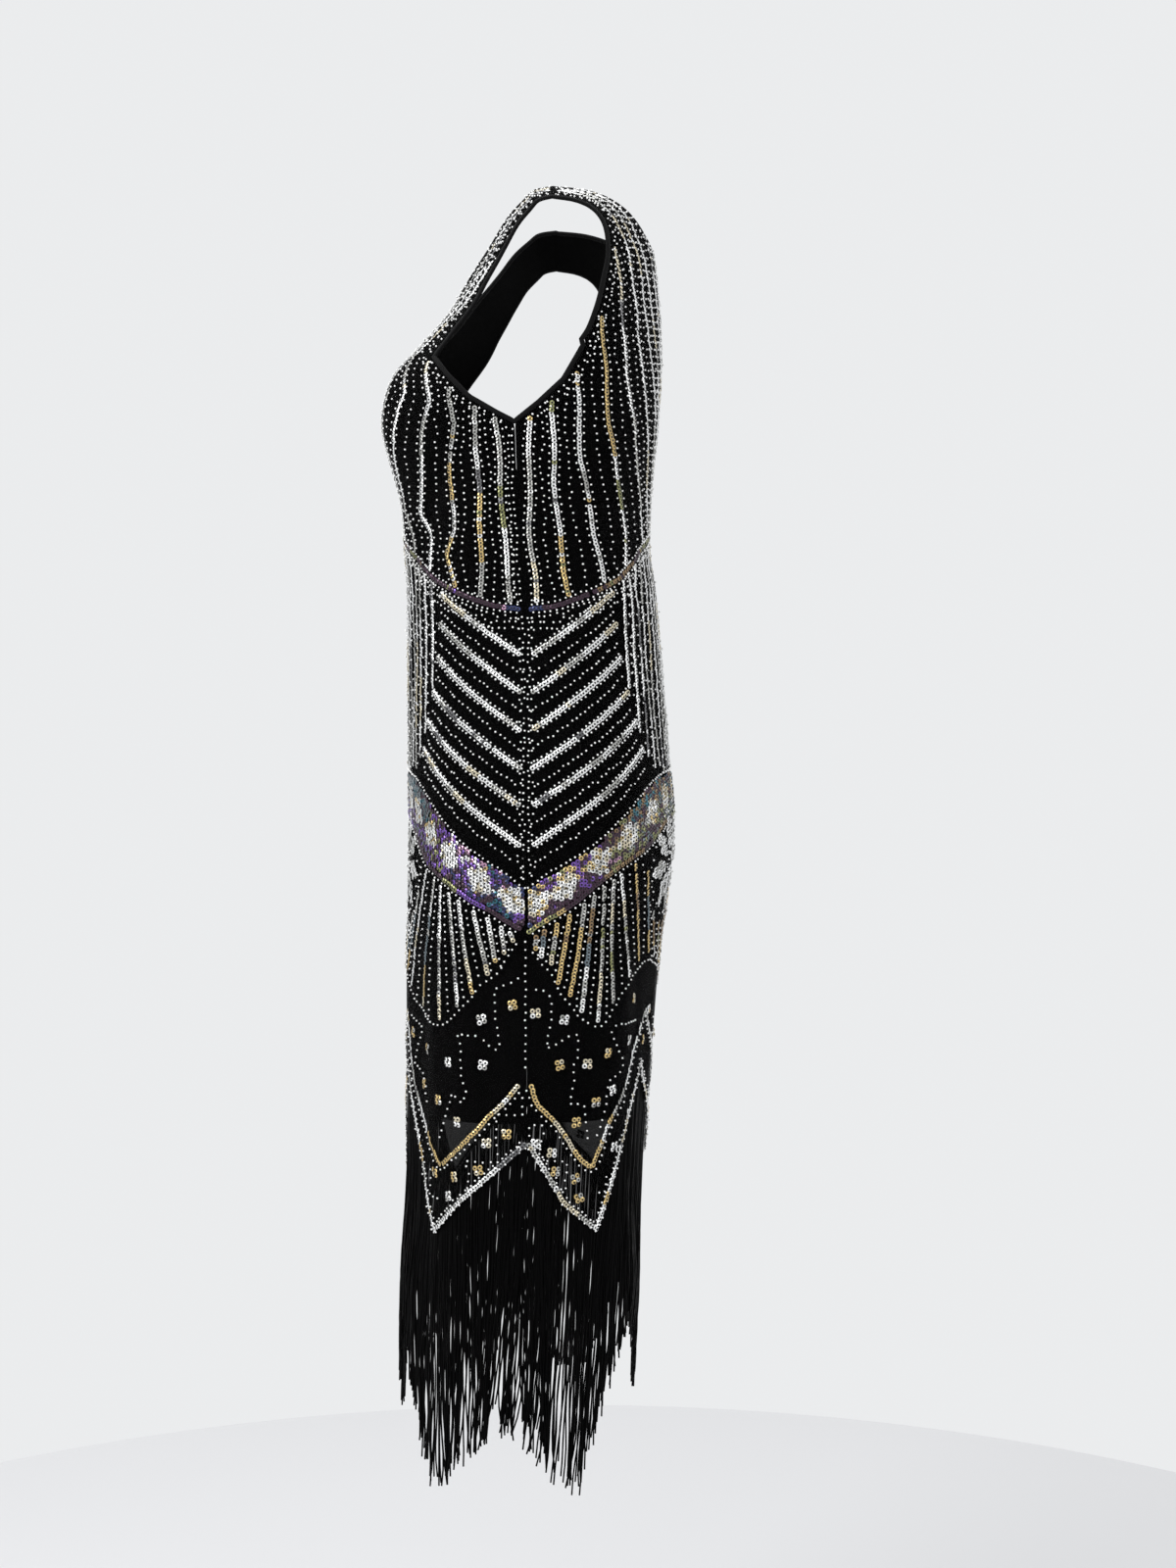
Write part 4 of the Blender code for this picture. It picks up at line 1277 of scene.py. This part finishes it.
def finish_of(name, constants):
    """A new material, its wire and its shader, with the shader's constant values set."""
    made = bpy.data.materials.new(name)
    made.use_nodes = True
    shader = made.node_tree.nodes["Principled BSDF"]
    for socket, value in constants.items():
        shader.inputs[socket].default_value = value
    return made, Wire(made.node_tree), shader


def plug(wire, shader, socket):
    """Join a wire to an input of the shader."""
    wire.tree.links.new(wire.socket, shader.inputs[socket])


print("a wire can:", ", ".join(name for name in vars(Wire) if "__" not in name))

# %% [markdown]
# ## The four cloths
# Tulle is a net of tiny six-sided holes, knitted jersey has fine upright ribs, a bias tape shows its weave
# at a slant, and a fringe cord is a silky twist. Each is black, so what tells them apart is how they catch
# the light: tulle and jersey are nearly matt, the tape shines a little, and the cord has a soft gloss.

# %% Patterns of cloth
TULLE_MESH, JERSEY_RIB, TAPE_WEAVE = 0.0011, 0.0009, 0.0008
RELIEF = 0.0002
# across the slanting threads of a six-sided net
HEX_RIGHT, HEX_UP = 0.5, 0.87


def wave(wire, size):
    """A wave that repeats at a size."""
    return (wire * (2 * math.pi / size)).sine()


def along_cloth(wire, output):
    """One of the two directions of the texture map, in metres."""
    places = wire.node("ShaderNodeUVMap", {"uv_map": "cloth"})
    return wire.node("ShaderNodeSeparateXYZ", None, {0: places}, output)


def clouds(wire, size):
    """Soft noise of a size, on the object's own coordinates."""
    places = wire.node("ShaderNodeTexCoord", output=3)
    return wire.node("ShaderNodeTexNoise", None, {"Vector": places, "Scale": 1 / size, "Detail": 2.0})


def bumped(wire, height, shader, strength):
    """Raise a pattern on the shader."""
    bump = wire.node("ShaderNodeBump", None, {"Height": height, "Distance": RELIEF, "Strength": strength})
    plug(bump, shader, "Normal")


def clouded(wire, shader, size, dark, light, roughness, more):
    """Colour between two shades and roughness from a low value up, both by clouds of a size."""
    soft = clouds(wire, size)
    plug(soft.between(dark, light), shader, "Base Color")
    plug(soft * more + roughness, shader, "Roughness")


print("holes to a centimetre of tulle: %.0f" % (0.01 / TULLE_MESH))

# %% Cloth finishes
tulle, wire, shader = finish_of(
    "black_tulle", {"Sheen Weight": 0.01, "Sheen Roughness": 0.45, "Alpha": 0.62, "Specular IOR Level": 0.02}
)
right, up = along_cloth(wire, 0), along_cloth(wire, 1)
threads = wave(right, TULLE_MESH) + wave(right * HEX_RIGHT + up * HEX_UP, TULLE_MESH)
threads = threads + wave(right * HEX_RIGHT - up * HEX_UP, TULLE_MESH)
bumped(wire, threads, shader, 0.5)
clouded(wire, shader, 0.05, (0.0013, 0.0013, 0.0014), (0.0032, 0.0031, 0.0032), 0.66, 0.16)

jersey, wire, shader = finish_of("black_jersey", {"Sheen Weight": 0.01, "Specular IOR Level": 0.02})
bumped(wire, wave(along_cloth(wire, 0), JERSEY_RIB), shader, 0.4)
clouded(wire, shader, 0.03, (0.0013, 0.0013, 0.0014), (0.0028, 0.0027, 0.0028), 0.8, 0.1)

tape, wire, shader = finish_of("black_tape", {"Sheen Weight": 0.02, "Specular IOR Level": 0.06})
slant = along_cloth(wire, 0) + along_cloth(wire, 1)
against = along_cloth(wire, 0) - along_cloth(wire, 1)
bumped(wire, wave(slant, TAPE_WEAVE) + wave(against, TAPE_WEAVE), shader, 0.5)
clouded(wire, shader, 0.01, (0.0022, 0.0022, 0.0024), (0.0050, 0.0048, 0.0050), 0.5, 0.15)

cord, wire, shader = finish_of("black_cord", {"Specular IOR Level": 0.03})
clouded(wire, shader, 0.004, (0.0005, 0.0005, 0.0006), (0.0022, 0.0021, 0.0022), 0.32, 0.2)
print("cloths:", tulle.name, jersey.name, tape.name, cord.name)

# %% [markdown]
# ## Sequins and beads
# A sequin is a tiny cup of coated film, and a bead is opaque white glass. Thousands of them can't carry a
# pattern each, so each colour is a finish of its own, and the rows mix the finishes as they were threaded.
# One finish is a darker copy of silver: painted shade, mixed in at random for silver sequins that look
# grey in reflection.

# %% Finishes of the sewn-on pieces
# colour, metallic and roughness
SEWN_FINISHES = {
    "silver": ((0.800, 0.805, 0.800), 0.80, 0.24),
    # the next finish is painted shade: a darker copy of silver, for silver sequins that look grey in
    # reflection
    "steel": ((0.400, 0.400, 0.380), 0.85, 0.26),
    "smoke": ((0.140, 0.140, 0.145), 0.85, 0.24),
    "slate": ((0.130, 0.165, 0.185), 0.80, 0.26),
    "pale_gold": ((0.600, 0.540, 0.400), 0.80, 0.26),
    "gold": ((0.560, 0.410, 0.170), 0.85, 0.26),
    "bronze": ((0.230, 0.150, 0.075), 0.85, 0.28),
    "olive": ((0.210, 0.215, 0.090), 0.80, 0.28),
    "violet": ((0.140, 0.060, 0.320), 0.75, 0.24),
    "plum": ((0.040, 0.014, 0.032), 0.75, 0.26),
    "rose": ((0.500, 0.290, 0.420), 0.75, 0.26),
    "blue": ((0.018, 0.028, 0.100), 0.75, 0.24),
    "teal": ((0.020, 0.120, 0.160), 0.75, 0.24),
    "bead": ((0.920, 0.920, 0.910), 0.00, 0.22),
    "hole": ((0.004, 0.004, 0.004), 0.00, 0.90),
}
sewn_finishes = {}
for name, (colour, metallic, roughness) in SEWN_FINISHES.items():
    constants = {"Base Color": (*colour, 1), "Metallic": metallic, "Roughness": roughness}
    if name != "hole":
        constants["Coat Weight"] = 0.5
        constants["Coat Roughness"] = 0.12
    sewn_finishes[name] = finish_of(f"{name}_bead" if name == "bead" else f"{name}_sequin", constants)[0]
print("sewn finishes:", ", ".join(sewn_finishes))

# %% [markdown]
# ## Thousands of pieces from one
# Geometry Nodes copy one cup or one bead to every place. The tree is given a mesh of bare points, each with
# the direction out of the cloth and the direction of its thread, turns each copy to suit, and tips it by a
# small random angle, because a sequin held by one thread never lies quite flat. That tipping is what makes
# a beaded dress glitter.


# %% Trees of Geometry Nodes
class Tree:
    """A node tree under construction, with named inputs."""

    def __init__(self, name, inputs):
        self.tree = bpy.data.node_groups.new(name, "GeometryNodeTree")
        self.tree.interface.new_socket(name="Geometry", in_out="INPUT", socket_type="NodeSocketGeometry")
        self.tree.interface.new_socket(name="Geometry", in_out="OUTPUT", socket_type="NodeSocketGeometry")
        self.named = {}
        for title, kind in inputs:
            made = self.tree.interface.new_socket(name=title, in_out="INPUT", socket_type=kind)
            self.named[title] = made.identifier
        self.start = self.tree.nodes.new("NodeGroupInput")
        self.end = self.tree.nodes.new("NodeGroupOutput")

    def __getitem__(self, title):
        return self.start.outputs[title]

    def node(self, kind, settings=None, values=None):
        """A new node. A node among the values is joined by its first output."""
        made = self.tree.nodes.new(kind)
        for name, value in (settings or {}).items():
            setattr(made, name, value)
        for name, value in (values or {}).items():
            if isinstance(value, bpy.types.Node):
                value = value.outputs[0]
            if isinstance(value, bpy.types.NodeSocket):
                self.tree.links.new(value, made.inputs[name])
            else:
                made.inputs[name].default_value = value
        return made

    def painted(self, geometry, material, **selection):
        """Geometry with a material on all its faces, or on the selected ones."""
        values = {"Geometry": geometry, "Material": material} | selection
        return self.node("GeometryNodeSetMaterial", None, values)

    def shaded(self, geometry, smooth):
        """Geometry shaded smooth, or flat."""
        return self.node("GeometryNodeSetShadeSmooth", None, {"Geometry": geometry, "Shade Smooth": smooth})

    def finish(self, last):
        self.tree.links.new(last.outputs[0], self.end.inputs[0])


print("a tree can:", ", ".join(name for name in vars(Tree) if "__" not in name))


# %% Grow a plain mesh with a tree
def grown(name, source, tree, values):
    """The plain mesh that a tree makes from a source mesh."""
    holder = placed(f"{name}_source", source)
    modifier = holder.modifiers.new("grow", "NODES")
    modifier.node_group = tree.tree
    for title, value in values.items():
        modifier[tree.named[title]] = value
    holder.update_tag()
    evaluated = holder.evaluated_get(bpy.context.evaluated_depsgraph_get())
    mesh = bpy.data.meshes.new_from_object(evaluated)
    bpy.data.objects.remove(holder)
    mesh.name = name
    # the tree leaves an empty slot for the bare shape, so the faces are counted again without it
    index = np.zeros(len(mesh.polygons), int)
    mesh.polygons.foreach_get("material_index", index)
    slots = list(mesh.materials)
    kept = [finish for finish in slots if finish]
    order = np.array([kept.index(finish) if finish else 0 for finish in slots])
    mesh.materials.clear()
    for finish in kept:
        mesh.materials.append(finish)
    mesh.polygons.foreach_set("material_index", order[index])
    return placed(name, mesh)


SPIN = 0.4


def seated(tree, shape, size_range, tilt, lap=0.0):
    """Copies of a shape on every point, turned by the point's directions, tipped by lap and at random."""
    seed, vector = tree["Seed"], {"data_type": "FLOAT_VECTOR"}
    out = tree.node("GeometryNodeInputNamedAttribute", vector, {"Name": "out"})
    thread = tree.node("GeometryNodeInputNamedAttribute", vector, {"Name": "thread"})
    upright = tree.node("FunctionNodeAlignRotationToVector", {"axis": "Z"}, {"Vector": out})
    turned = tree.node(
        "FunctionNodeAlignRotationToVector",
        {"axis": "X", "pivot_axis": "Z"},
        {"Rotation": upright, "Vector": thread},
    )
    limits = {"Min": (-tilt, lap - tilt, -SPIN), "Max": (tilt, lap + tilt, SPIN), "Seed": seed}
    angles = tree.node("FunctionNodeRandomValue", vector, limits)
    angles = tree.node("FunctionNodeEulerToRotation", None, {0: angles})
    tipped = tree.node(
        "FunctionNodeRotateRotation", {"rotation_space": "LOCAL"}, {"Rotation": turned, "Rotate By": angles}
    )
    sizes = tree.node(
        "FunctionNodeRandomValue", {"data_type": "FLOAT"}, {2: size_range[0], 3: size_range[1], "Seed": seed}
    )
    copies = tree.node(
        "GeometryNodeInstanceOnPoints",
        None,
        {"Points": tree["Geometry"], "Instance": shape, "Rotation": tipped, "Scale": sizes.outputs[1]},
    )
    return tree.node("GeometryNodeRealizeInstances", None, {0: copies})


print("a copy turns on its thread by up to %.0f degrees" % math.degrees(SPIN))

# %% Tree for a sequin
INPUTS = (("Radius", "NodeSocketFloat"), ("Seed", "NodeSocketInt"), ("Finish", "NodeSocketMaterial"))
CUP_INPUTS = (("Hole", "NodeSocketFloat"), ("Rise", "NodeSocketFloat"), ("Hole finish", "NodeSocketMaterial"))
SEQUIN_SIDES, SEQUIN_SIZES, SEQUIN_TILT, SEQUIN_LAP = 7, (0.94, 1.04), 0.13, 0.15
sequin_tree = Tree("sequins", INPUTS + CUP_INPUTS)
cup = sequin_tree.node(
    "GeometryNodeMeshCone",
    {"fill_type": "NGON"},
    {
        "Vertices": SEQUIN_SIDES,
        "Side Segments": 1,
        "Radius Top": sequin_tree["Hole"],
        "Radius Bottom": sequin_tree["Radius"],
        "Depth": sequin_tree["Rise"],
    },
)
flat = sequin_tree.shaded(cup.outputs["Mesh"], False)
every = seated(sequin_tree, flat, SEQUIN_SIZES, SEQUIN_TILT, SEQUIN_LAP)
coloured = sequin_tree.painted(every, sequin_tree["Finish"])
sequin_tree.finish(sequin_tree.painted(coloured, sequin_tree["Hole finish"], Selection=cup.outputs["Top"]))
print("sequin tree:", len(sequin_tree.tree.nodes), "nodes")

# %% Tree for a bead
BEAD_SQUAT, BEAD_SIZES, BEAD_TILT = (0.9, 1.0, 1.0), (0.90, 1.08), 0.05
bead_tree = Tree("beads", INPUTS)
ball = bead_tree.node("GeometryNodeMeshIcoSphere", None, {"Radius": bead_tree["Radius"], "Subdivisions": 1})
squat = bead_tree.node("GeometryNodeTransform", None, {"Geometry": ball, "Scale": BEAD_SQUAT})
every = seated(bead_tree, squat, BEAD_SIZES, BEAD_TILT)
bead_tree.finish(bead_tree.painted(bead_tree.shaded(every, True), bead_tree["Finish"]))
print("bead tree:", len(bead_tree.tree.nodes), "nodes")

# %% Put every sequin and bead in its place
SEQUIN_RADIUS, SEQUIN_HOLE, SEQUIN_RISE = 0.00225, 0.00100, 0.0006
BEAD_RADIUS = 0.00098


def points_of(name, made):
    """A mesh of bare points that carry their two directions."""
    mesh = bpy.data.meshes.new(name)
    mesh.from_pydata(made[:, 0].tolist(), [], [])
    for k, title in ((1, "out"), (2, "thread")):
        attribute = mesh.attributes.new(title, "FLOAT_VECTOR", "POINT")
        attribute.data.foreach_set("vector", made[:, k].ravel())
    return mesh


decorations = {"front": [], "back": []}
for seed, ((label, finish), made) in enumerate(sewn.items()):
    is_bead = finish == "bead"
    name = f"{label}_white_beads" if is_bead else f"{label}_{finish}_sequins"
    values = {"Seed": seed, "Finish": sewn_finishes[finish], "Radius": BEAD_RADIUS}
    if not is_bead:
        values |= {"Radius": SEQUIN_RADIUS, "Hole": SEQUIN_HOLE, "Rise": SEQUIN_RISE}
        values["Hole finish"] = sewn_finishes["hole"]
    piece = grown(name, points_of(name, made), bead_tree if is_bead else sequin_tree, values)
    decorations[label].append(piece)
    triangles = sum(len(face.vertices) - 2 for face in piece.data.polygons)
    print(name, len(made), "pieces,", triangles, "triangles,", [m.name for m in piece.data.materials])

# %% [markdown]
# ## Fringe
# About seven hundred cords hang from the hem, all nearly one length, so their tips repeat its zigzag lower
# down. A hair system could grow them, but these have to hang straight down on the form of the skirt, so
# each is a path on the same surface. Neighbours draw together into small bunches towards their tips, and
# each cord has a slight wave of its own. Geometry Nodes give the paths their thickness.

# %% Routes of the cords
# lap from centre front, length, and how far the tips swing forward in laps
FRINGE = (
    (0.0, 0.213, 0.0),
    (0.6, 0.213, 0.0),
    (1.0, 0.228, 0.08),
    (1.28, 0.213, 0.07),
    (2.0, 0.213, 0.0),
)
CORDS, SEAM_CORDS = 640, 64
CORD_POINTS = 17
CORD_TOP = 0.003
CORD_SCATTER, SEAM_REACH = 0.35, 0.085
LENGTH_SPREAD = 0.0045
CUT_SHORT, CUT_SHARE = 0.018, 0.08
# size of the bunches along the hem, and how far the tips draw together
BUNCHES = ((0.018, 0.0015), (0.041, 0.0024), (0.097, 0.0024))
RIPPLE, RIPPLE_RATE = 0.0007, 90
TIP_SPREAD, TIP_SHARE = 0.0022, 0.2
CORD_DEPTH, DEPTH_SPREAD = 0.0022, (-0.0006, 0.0008)
SWAY, SWAY_RATE = 0.0012, 60


def fringe_paths():
    """The points of each cord, and whether it hangs from the back."""
    spread = rng.uniform(-CORD_SCATTER, CORD_SCATTER, CORDS)
    places = -2 + 4 * (np.arange(CORDS) + 0.5 + spread) / CORDS
    straight = np.arange(CORDS + SEAM_CORDS) >= CORDS
    sides = np.repeat([1.0, -1.0], SEAM_CORDS // 2)
    beside = sides * (1 + rng.uniform(-SEAM_REACH, SEAM_REACH, SEAM_CORDS))
    places = np.concatenate([places, beside])
    count = len(places)
    is_back = abs(places) > 1
    shares = abs(abs(places) - 1)
    hems = np.where(is_back, hem(shares, True), hem(shares, False))
    table_laps, lengths, leans = zip(*FRINGE)
    long = np.interp(abs(places), table_laps, lengths) + rng.normal(0, LENGTH_SPREAD, count)
    long -= CUT_SHORT * (rng.random(count) < CUT_SHARE) * rng.random(count)
    down = np.linspace(0, 1, CORD_POINTS)[None]
    heights = (hems + CORD_TOP)[:, None] - (long + CORD_TOP)[:, None] * down
    swing = np.where(straight, 0.0, np.interp(abs(places), table_laps, leans))
    laps = abs(places)[:, None] - swing[:, None] * down
    metres = places * LAP_LENGTH
    bunch = sum(depth * np.sin(2 * math.pi * metres / size + size * 999) for size, depth in BUNCHES)
    ripple = RIPPLE * np.sin(heights * RIPPLE_RATE + rng.uniform(0, 6, count)[:, None])
    near_tip = ((down - (1 - TIP_SHARE)).clip(0) / TIP_SHARE) ** 2
    tip = rng.normal(0, TIP_SPREAD, count)[:, None] * near_tip
    sideways = bunch[:, None] * down**1.2 + ripple * down**0.5 + tip
    turns = np.sign(places)[:, None] * laps + sideways / LAP_LENGTH
    turns = np.where(abs(turns) > 2, turns - 4 * np.sign(turns), turns)
    depth = CORD_DEPTH + rng.uniform(*DEPTH_SPREAD, count)[:, None] * down**0.3
    depth = depth + SWAY * np.sin(heights * SWAY_RATE + rng.uniform(0, 6, count)[:, None]) * down
    at, _ = cloth(turns, number_at(heights), depth)
    return at, is_back


paths, from_back = fringe_paths()
print("cords:", len(paths), "of", CORD_POINTS, "points")

# %% Tree for a cord
CORD_RADIUS = 0.00075
CORD_SIDES = 5


def cord_mesh(name, at):
    """Open chains of points and edges."""
    count = at.shape[1]
    index = np.arange(at.shape[0] * count).reshape(-1, count)
    edges = np.stack([index[:, :-1], index[:, 1:]], -1).reshape(-1, 2)
    mesh = bpy.data.meshes.new(name)
    mesh.from_pydata(at.reshape(-1, 3).tolist(), edges.tolist(), [])
    return mesh


cord_tree = Tree(
    "cords", (("Radius", "NodeSocketFloat"), ("Sides", "NodeSocketInt"), ("Finish", "NodeSocketMaterial"))
)
chains = cord_tree.node("GeometryNodeMeshToCurve", None, {"Mesh": cord_tree["Geometry"]})
section = cord_tree.node(
    "GeometryNodeCurvePrimitiveCircle",
    None,
    {"Resolution": cord_tree["Sides"], "Radius": cord_tree["Radius"]},
)
tubes = cord_tree.node(
    "GeometryNodeCurveToMesh", None, {"Curve": chains, "Profile Curve": section, "Fill Caps": True}
)
whole = cord_tree.node("GeometryNodeRealizeInstances", None, {0: cord_tree.shaded(tubes, True)})
cord_tree.finish(cord_tree.painted(whole, cord_tree["Finish"]))
print("cord tree:", len(cord_tree.tree.nodes), "nodes")

# %% Hang the fringe
fringes = {}
for label, mine in (("front", ~from_back), ("back", from_back)):
    name = f"{label}_fringe_cords"
    values = {"Radius": CORD_RADIUS, "Sides": CORD_SIDES, "Finish": cord}
    fringes[label] = grown(name, cord_mesh(name, paths[mine]), cord_tree, values)
    lowest = min(corner[2] for corner in fringes[label].bound_box)
    print(name, mine.sum(), "cords,", len(fringes[label].data.polygons), "faces, lowest %.3f" % lowest)

# %% [markdown]
# ## Bindings
# The neckline and both armholes are bound with a narrow tape of black satin folded over the raw edge. A
# flattened tube follows each edge, a hair proud of the net, so the edge reads as rolled.

# %% Routes of the tapes
TAPE_STEP = 0.003
TAPE_DEPTH = NET_SHOWN + 0.0008
TAPE_SAMPLES = 70
TOO_CLOSE = 0.0004


def edge_points(is_back, side, is_armhole):
    """Points of a cut edge from the shoulder down, close together where the edge turns level."""
    foot = ARMHOLE_FOOT if is_armhole else SCOOP_TOP - SCOOP_DEPTH if is_back else NECK_FOOT
    steps = np.linspace(1, 0, TAPE_SAMPLES)
    numbers = float(number_at(foot)) * (1 - steps**2 * 0.9999) * 0.9995
    ends = np.array([ends_of(n, is_back) for n in numbers])
    return cloth(turn_of(ends[:, 0 if is_armhole else 1], is_back, side), numbers, TAPE_DEPTH)


def joined(parts):
    """One closed run of even steps from parts of a loop, of which every second one is turned round."""
    at = np.concatenate([p[:: -1 if k % 2 else 1] for k, (p, _) in enumerate(parts)])
    out = np.concatenate([o[:: -1 if k % 2 else 1] for k, (_, o) in enumerate(parts)])
    keep = np.linalg.norm(np.diff(at, axis=0, append=at[:1]), axis=1) > TOO_CLOSE
    at, out = at[keep], out[keep]
    at, out = np.concatenate([at, at[:1]]), np.concatenate([out, out[:1]])
    run = run_of(np.linalg.norm(np.diff(at, axis=0), axis=1))
    count = int(run[-1] / TAPE_STEP)
    where = np.arange(count) * run[-1] / count
    return on_run(where, run, at), unit(on_run(where, run, out))


neck_loop = joined([edge_points(*end, False) for end in ((False, 1), (False, -1), (True, -1), (True, 1))])
armhole_loops = {
    side: joined([edge_points(is_back, side, True) for is_back in (False, True)]) for side in (1, -1)
}
print("steps round the neck:", len(neck_loop[0]), "and each armhole:", len(armhole_loops[1][0]))

# %% Bind the openings
TAPE_HALF_WIDTH, TAPE_HALF_THICK = 0.0023, 0.0017
TAPE_INTO_OPENING = 0.0017
TAPE_SIDES, FLATTENED = 10, 0.75
MIDDLE_OF_NECK = (0.0, 0.0, 0.0)
MIDDLE_OF_ARMHOLE = (0.19, -0.02, -0.11)


def flattened(value):
    """A cosine or sine pushed outwards, so that a circle becomes a soft rectangle."""
    return math.copysign(abs(value) ** FLATTENED, value)


TAPE_ANGLES = np.linspace(0, 2 * math.pi, TAPE_SIDES, endpoint=False)
SECTION = [(flattened(math.cos(a)), flattened(math.sin(a))) for a in TAPE_ANGLES]


def tape_round(name, loop, hole):
    """A tape along a closed loop, on the side of it that faces the middle of the hole."""
    at, out = loop
    thread = unit(np.roll(at, -1, 0) - np.roll(at, 1, 0))
    into = unit(np.cross(out, thread))
    if np.einsum("ij,ij->i", into, hole - at).mean() < 0:
        into = -into
    middle = at + into * TAPE_INTO_OPENING
    rings = np.stack([middle + into * a * TAPE_HALF_WIDTH + out * b * TAPE_HALF_THICK for a, b in SECTION], 1)
    count, around = rings.shape[:2]
    faces, places = [], []
    for i in range(count):
        for j in range(around):
            k, m = (i + 1) % count, (j + 1) % around
            faces.append((i * around + j, k * around + j, k * around + m, i * around + m))
            places += [(i, j), (i + 1, j), (i + 1, j + 1), (i, j + 1)]
    mesh = bpy.data.meshes.new(name)
    mesh.from_pydata(rings.reshape(-1, 3).tolist(), [], faces)
    layer = mesh.uv_layers.new(name="cloth")
    layer.data.foreach_set("uv", (np.array(places) * (TAPE_STEP, 2 * TAPE_HALF_WIDTH * 3 / around)).ravel())
    mesh.shade_smooth()
    bm = bmesh.new()
    bm.from_mesh(mesh)
    bmesh.ops.recalc_face_normals(bm, faces=bm.faces)
    bm.to_mesh(mesh)
    bm.free()
    mesh.materials.append(tape)
    print(name, count, "steps, %.3f m round" % (count * TAPE_STEP))
    return placed(name, mesh)


tapes = {"neck_binding": tape_round("neck_tape", neck_loop, np.array(MIDDLE_OF_NECK))}
for side, label in ((1, "left"), (-1, "right")):
    middle = np.array(MIDDLE_OF_ARMHOLE) * (side, 1, 1)
    tapes[f"armhole_binding_{label}"] = tape_round(f"{label}_armhole_tape", armhole_loops[side], middle)

# %% [markdown]
# ## The dress in its frame
# Every piece rides on the one body. The nets and linings get their finishes here and, like the fringes and
# the tapes, hide the CAD solid that each stands for; the beadwork rides on the same body.

# %% Hang every piece on the body
for label in ("front", "back"):
    net, lining = cloth_pieces[f"{label}_panel"], cloth_pieces[f"{label}_lining"]
    net.data.materials.append(tulle)
    lining.data.materials.append(jersey)
    for piece, node, slot in (
        (net, f"{label}_panel", "beaded_net"),
        (lining, f"{label}_lining", "lining_cloth"),
        (fringes[label], f"fringe_{label}", "fringe_cord"),
    ):
        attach(piece, "root")
        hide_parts(node)
    for piece in decorations[label]:
        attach(piece, "root")
for node, piece in tapes.items():
    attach(piece, "root")
    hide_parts(node)
for label in ("front", "back"):
    more = decorations[label] + [fringes[label]] + (list(tapes.values()) if label == "front" else [])

# %% [markdown]
# ## Studio
# The camera stands level at the wearer's left side. A broad light in front of the dress, one behind it and
# one overhead are large and close, so that the black cloth shows its form by soft reflections, and the
# sequins pick up small hard glints from them.

# %% Camera
CAMERA_AT = (1.95, 0.031, -0.516)
LENS, SENSOR = 48.83, 36
camera = placed("camera", bpy.data.cameras.new("camera"))
camera.data.lens = LENS
camera.data.sensor_width = SENSOR
camera.location = CAMERA_AT
camera.rotation_euler = (math.pi / 2, 0, math.pi / 2)
bpy.context.scene.camera = camera
print("camera %.2f m from the dress" % CAMERA_AT[0])

# %% Lights
# place, where it points, size and power
LIGHTS = {
    "key": ((1.30, -1.70, 0.55), (0.0, 0.0, -0.45), 1.3, 30),
    "fill": ((1.40, 1.70, 0.10), (0.0, 0.0, -0.50), 1.3, 8),
    "top": ((0.15, -0.20, 1.30), (0.0, 0.0, -0.40), 1.2, 12),
}
for name, (place, aim, size, power) in LIGHTS.items():
    light = bpy.data.lights.new(name, "AREA")
    light.size, light.energy = size, power
    lamp = placed(name, light)
    lamp.location = place
    lamp.rotation_euler = (Vector(aim) - Vector(place)).to_track_quat("-Z", "Y").to_euler()

WORLD_COLOUR, WORLD_STRENGTH = (0.83, 0.84, 0.85, 1), 1.0
world = bpy.data.worlds.new("studio")
bpy.context.scene.world = world
world.use_nodes = True
background = world.node_tree.nodes["Background"]
background.inputs["Color"].default_value = WORLD_COLOUR
background.inputs["Strength"].default_value = WORLD_STRENGTH
bpy.context.scene.view_settings.view_transform = "Standard"
print("lights:", ", ".join(LIGHTS))

# %% Floor
FLOOR_Z, FLOOR_RADIUS, FLOOR_SIDES = -1.45, 1.25, 96
FLOOR_CONSTANTS = {"Base Color": (0.72, 0.72, 0.73, 1), "Roughness": 0.7}
bm = bmesh.new()
bmesh.ops.create_circle(bm, cap_ends=True, segments=FLOOR_SIDES, radius=FLOOR_RADIUS)
bmesh.ops.translate(bm, verts=bm.verts, vec=(0, 0, FLOOR_Z))
mesh = bpy.data.meshes.new("floor")
bm.to_mesh(mesh)
bm.free()
floor = placed("floor", mesh)
mesh.materials.append(finish_of("pale_floor", FLOOR_CONSTANTS)[0])
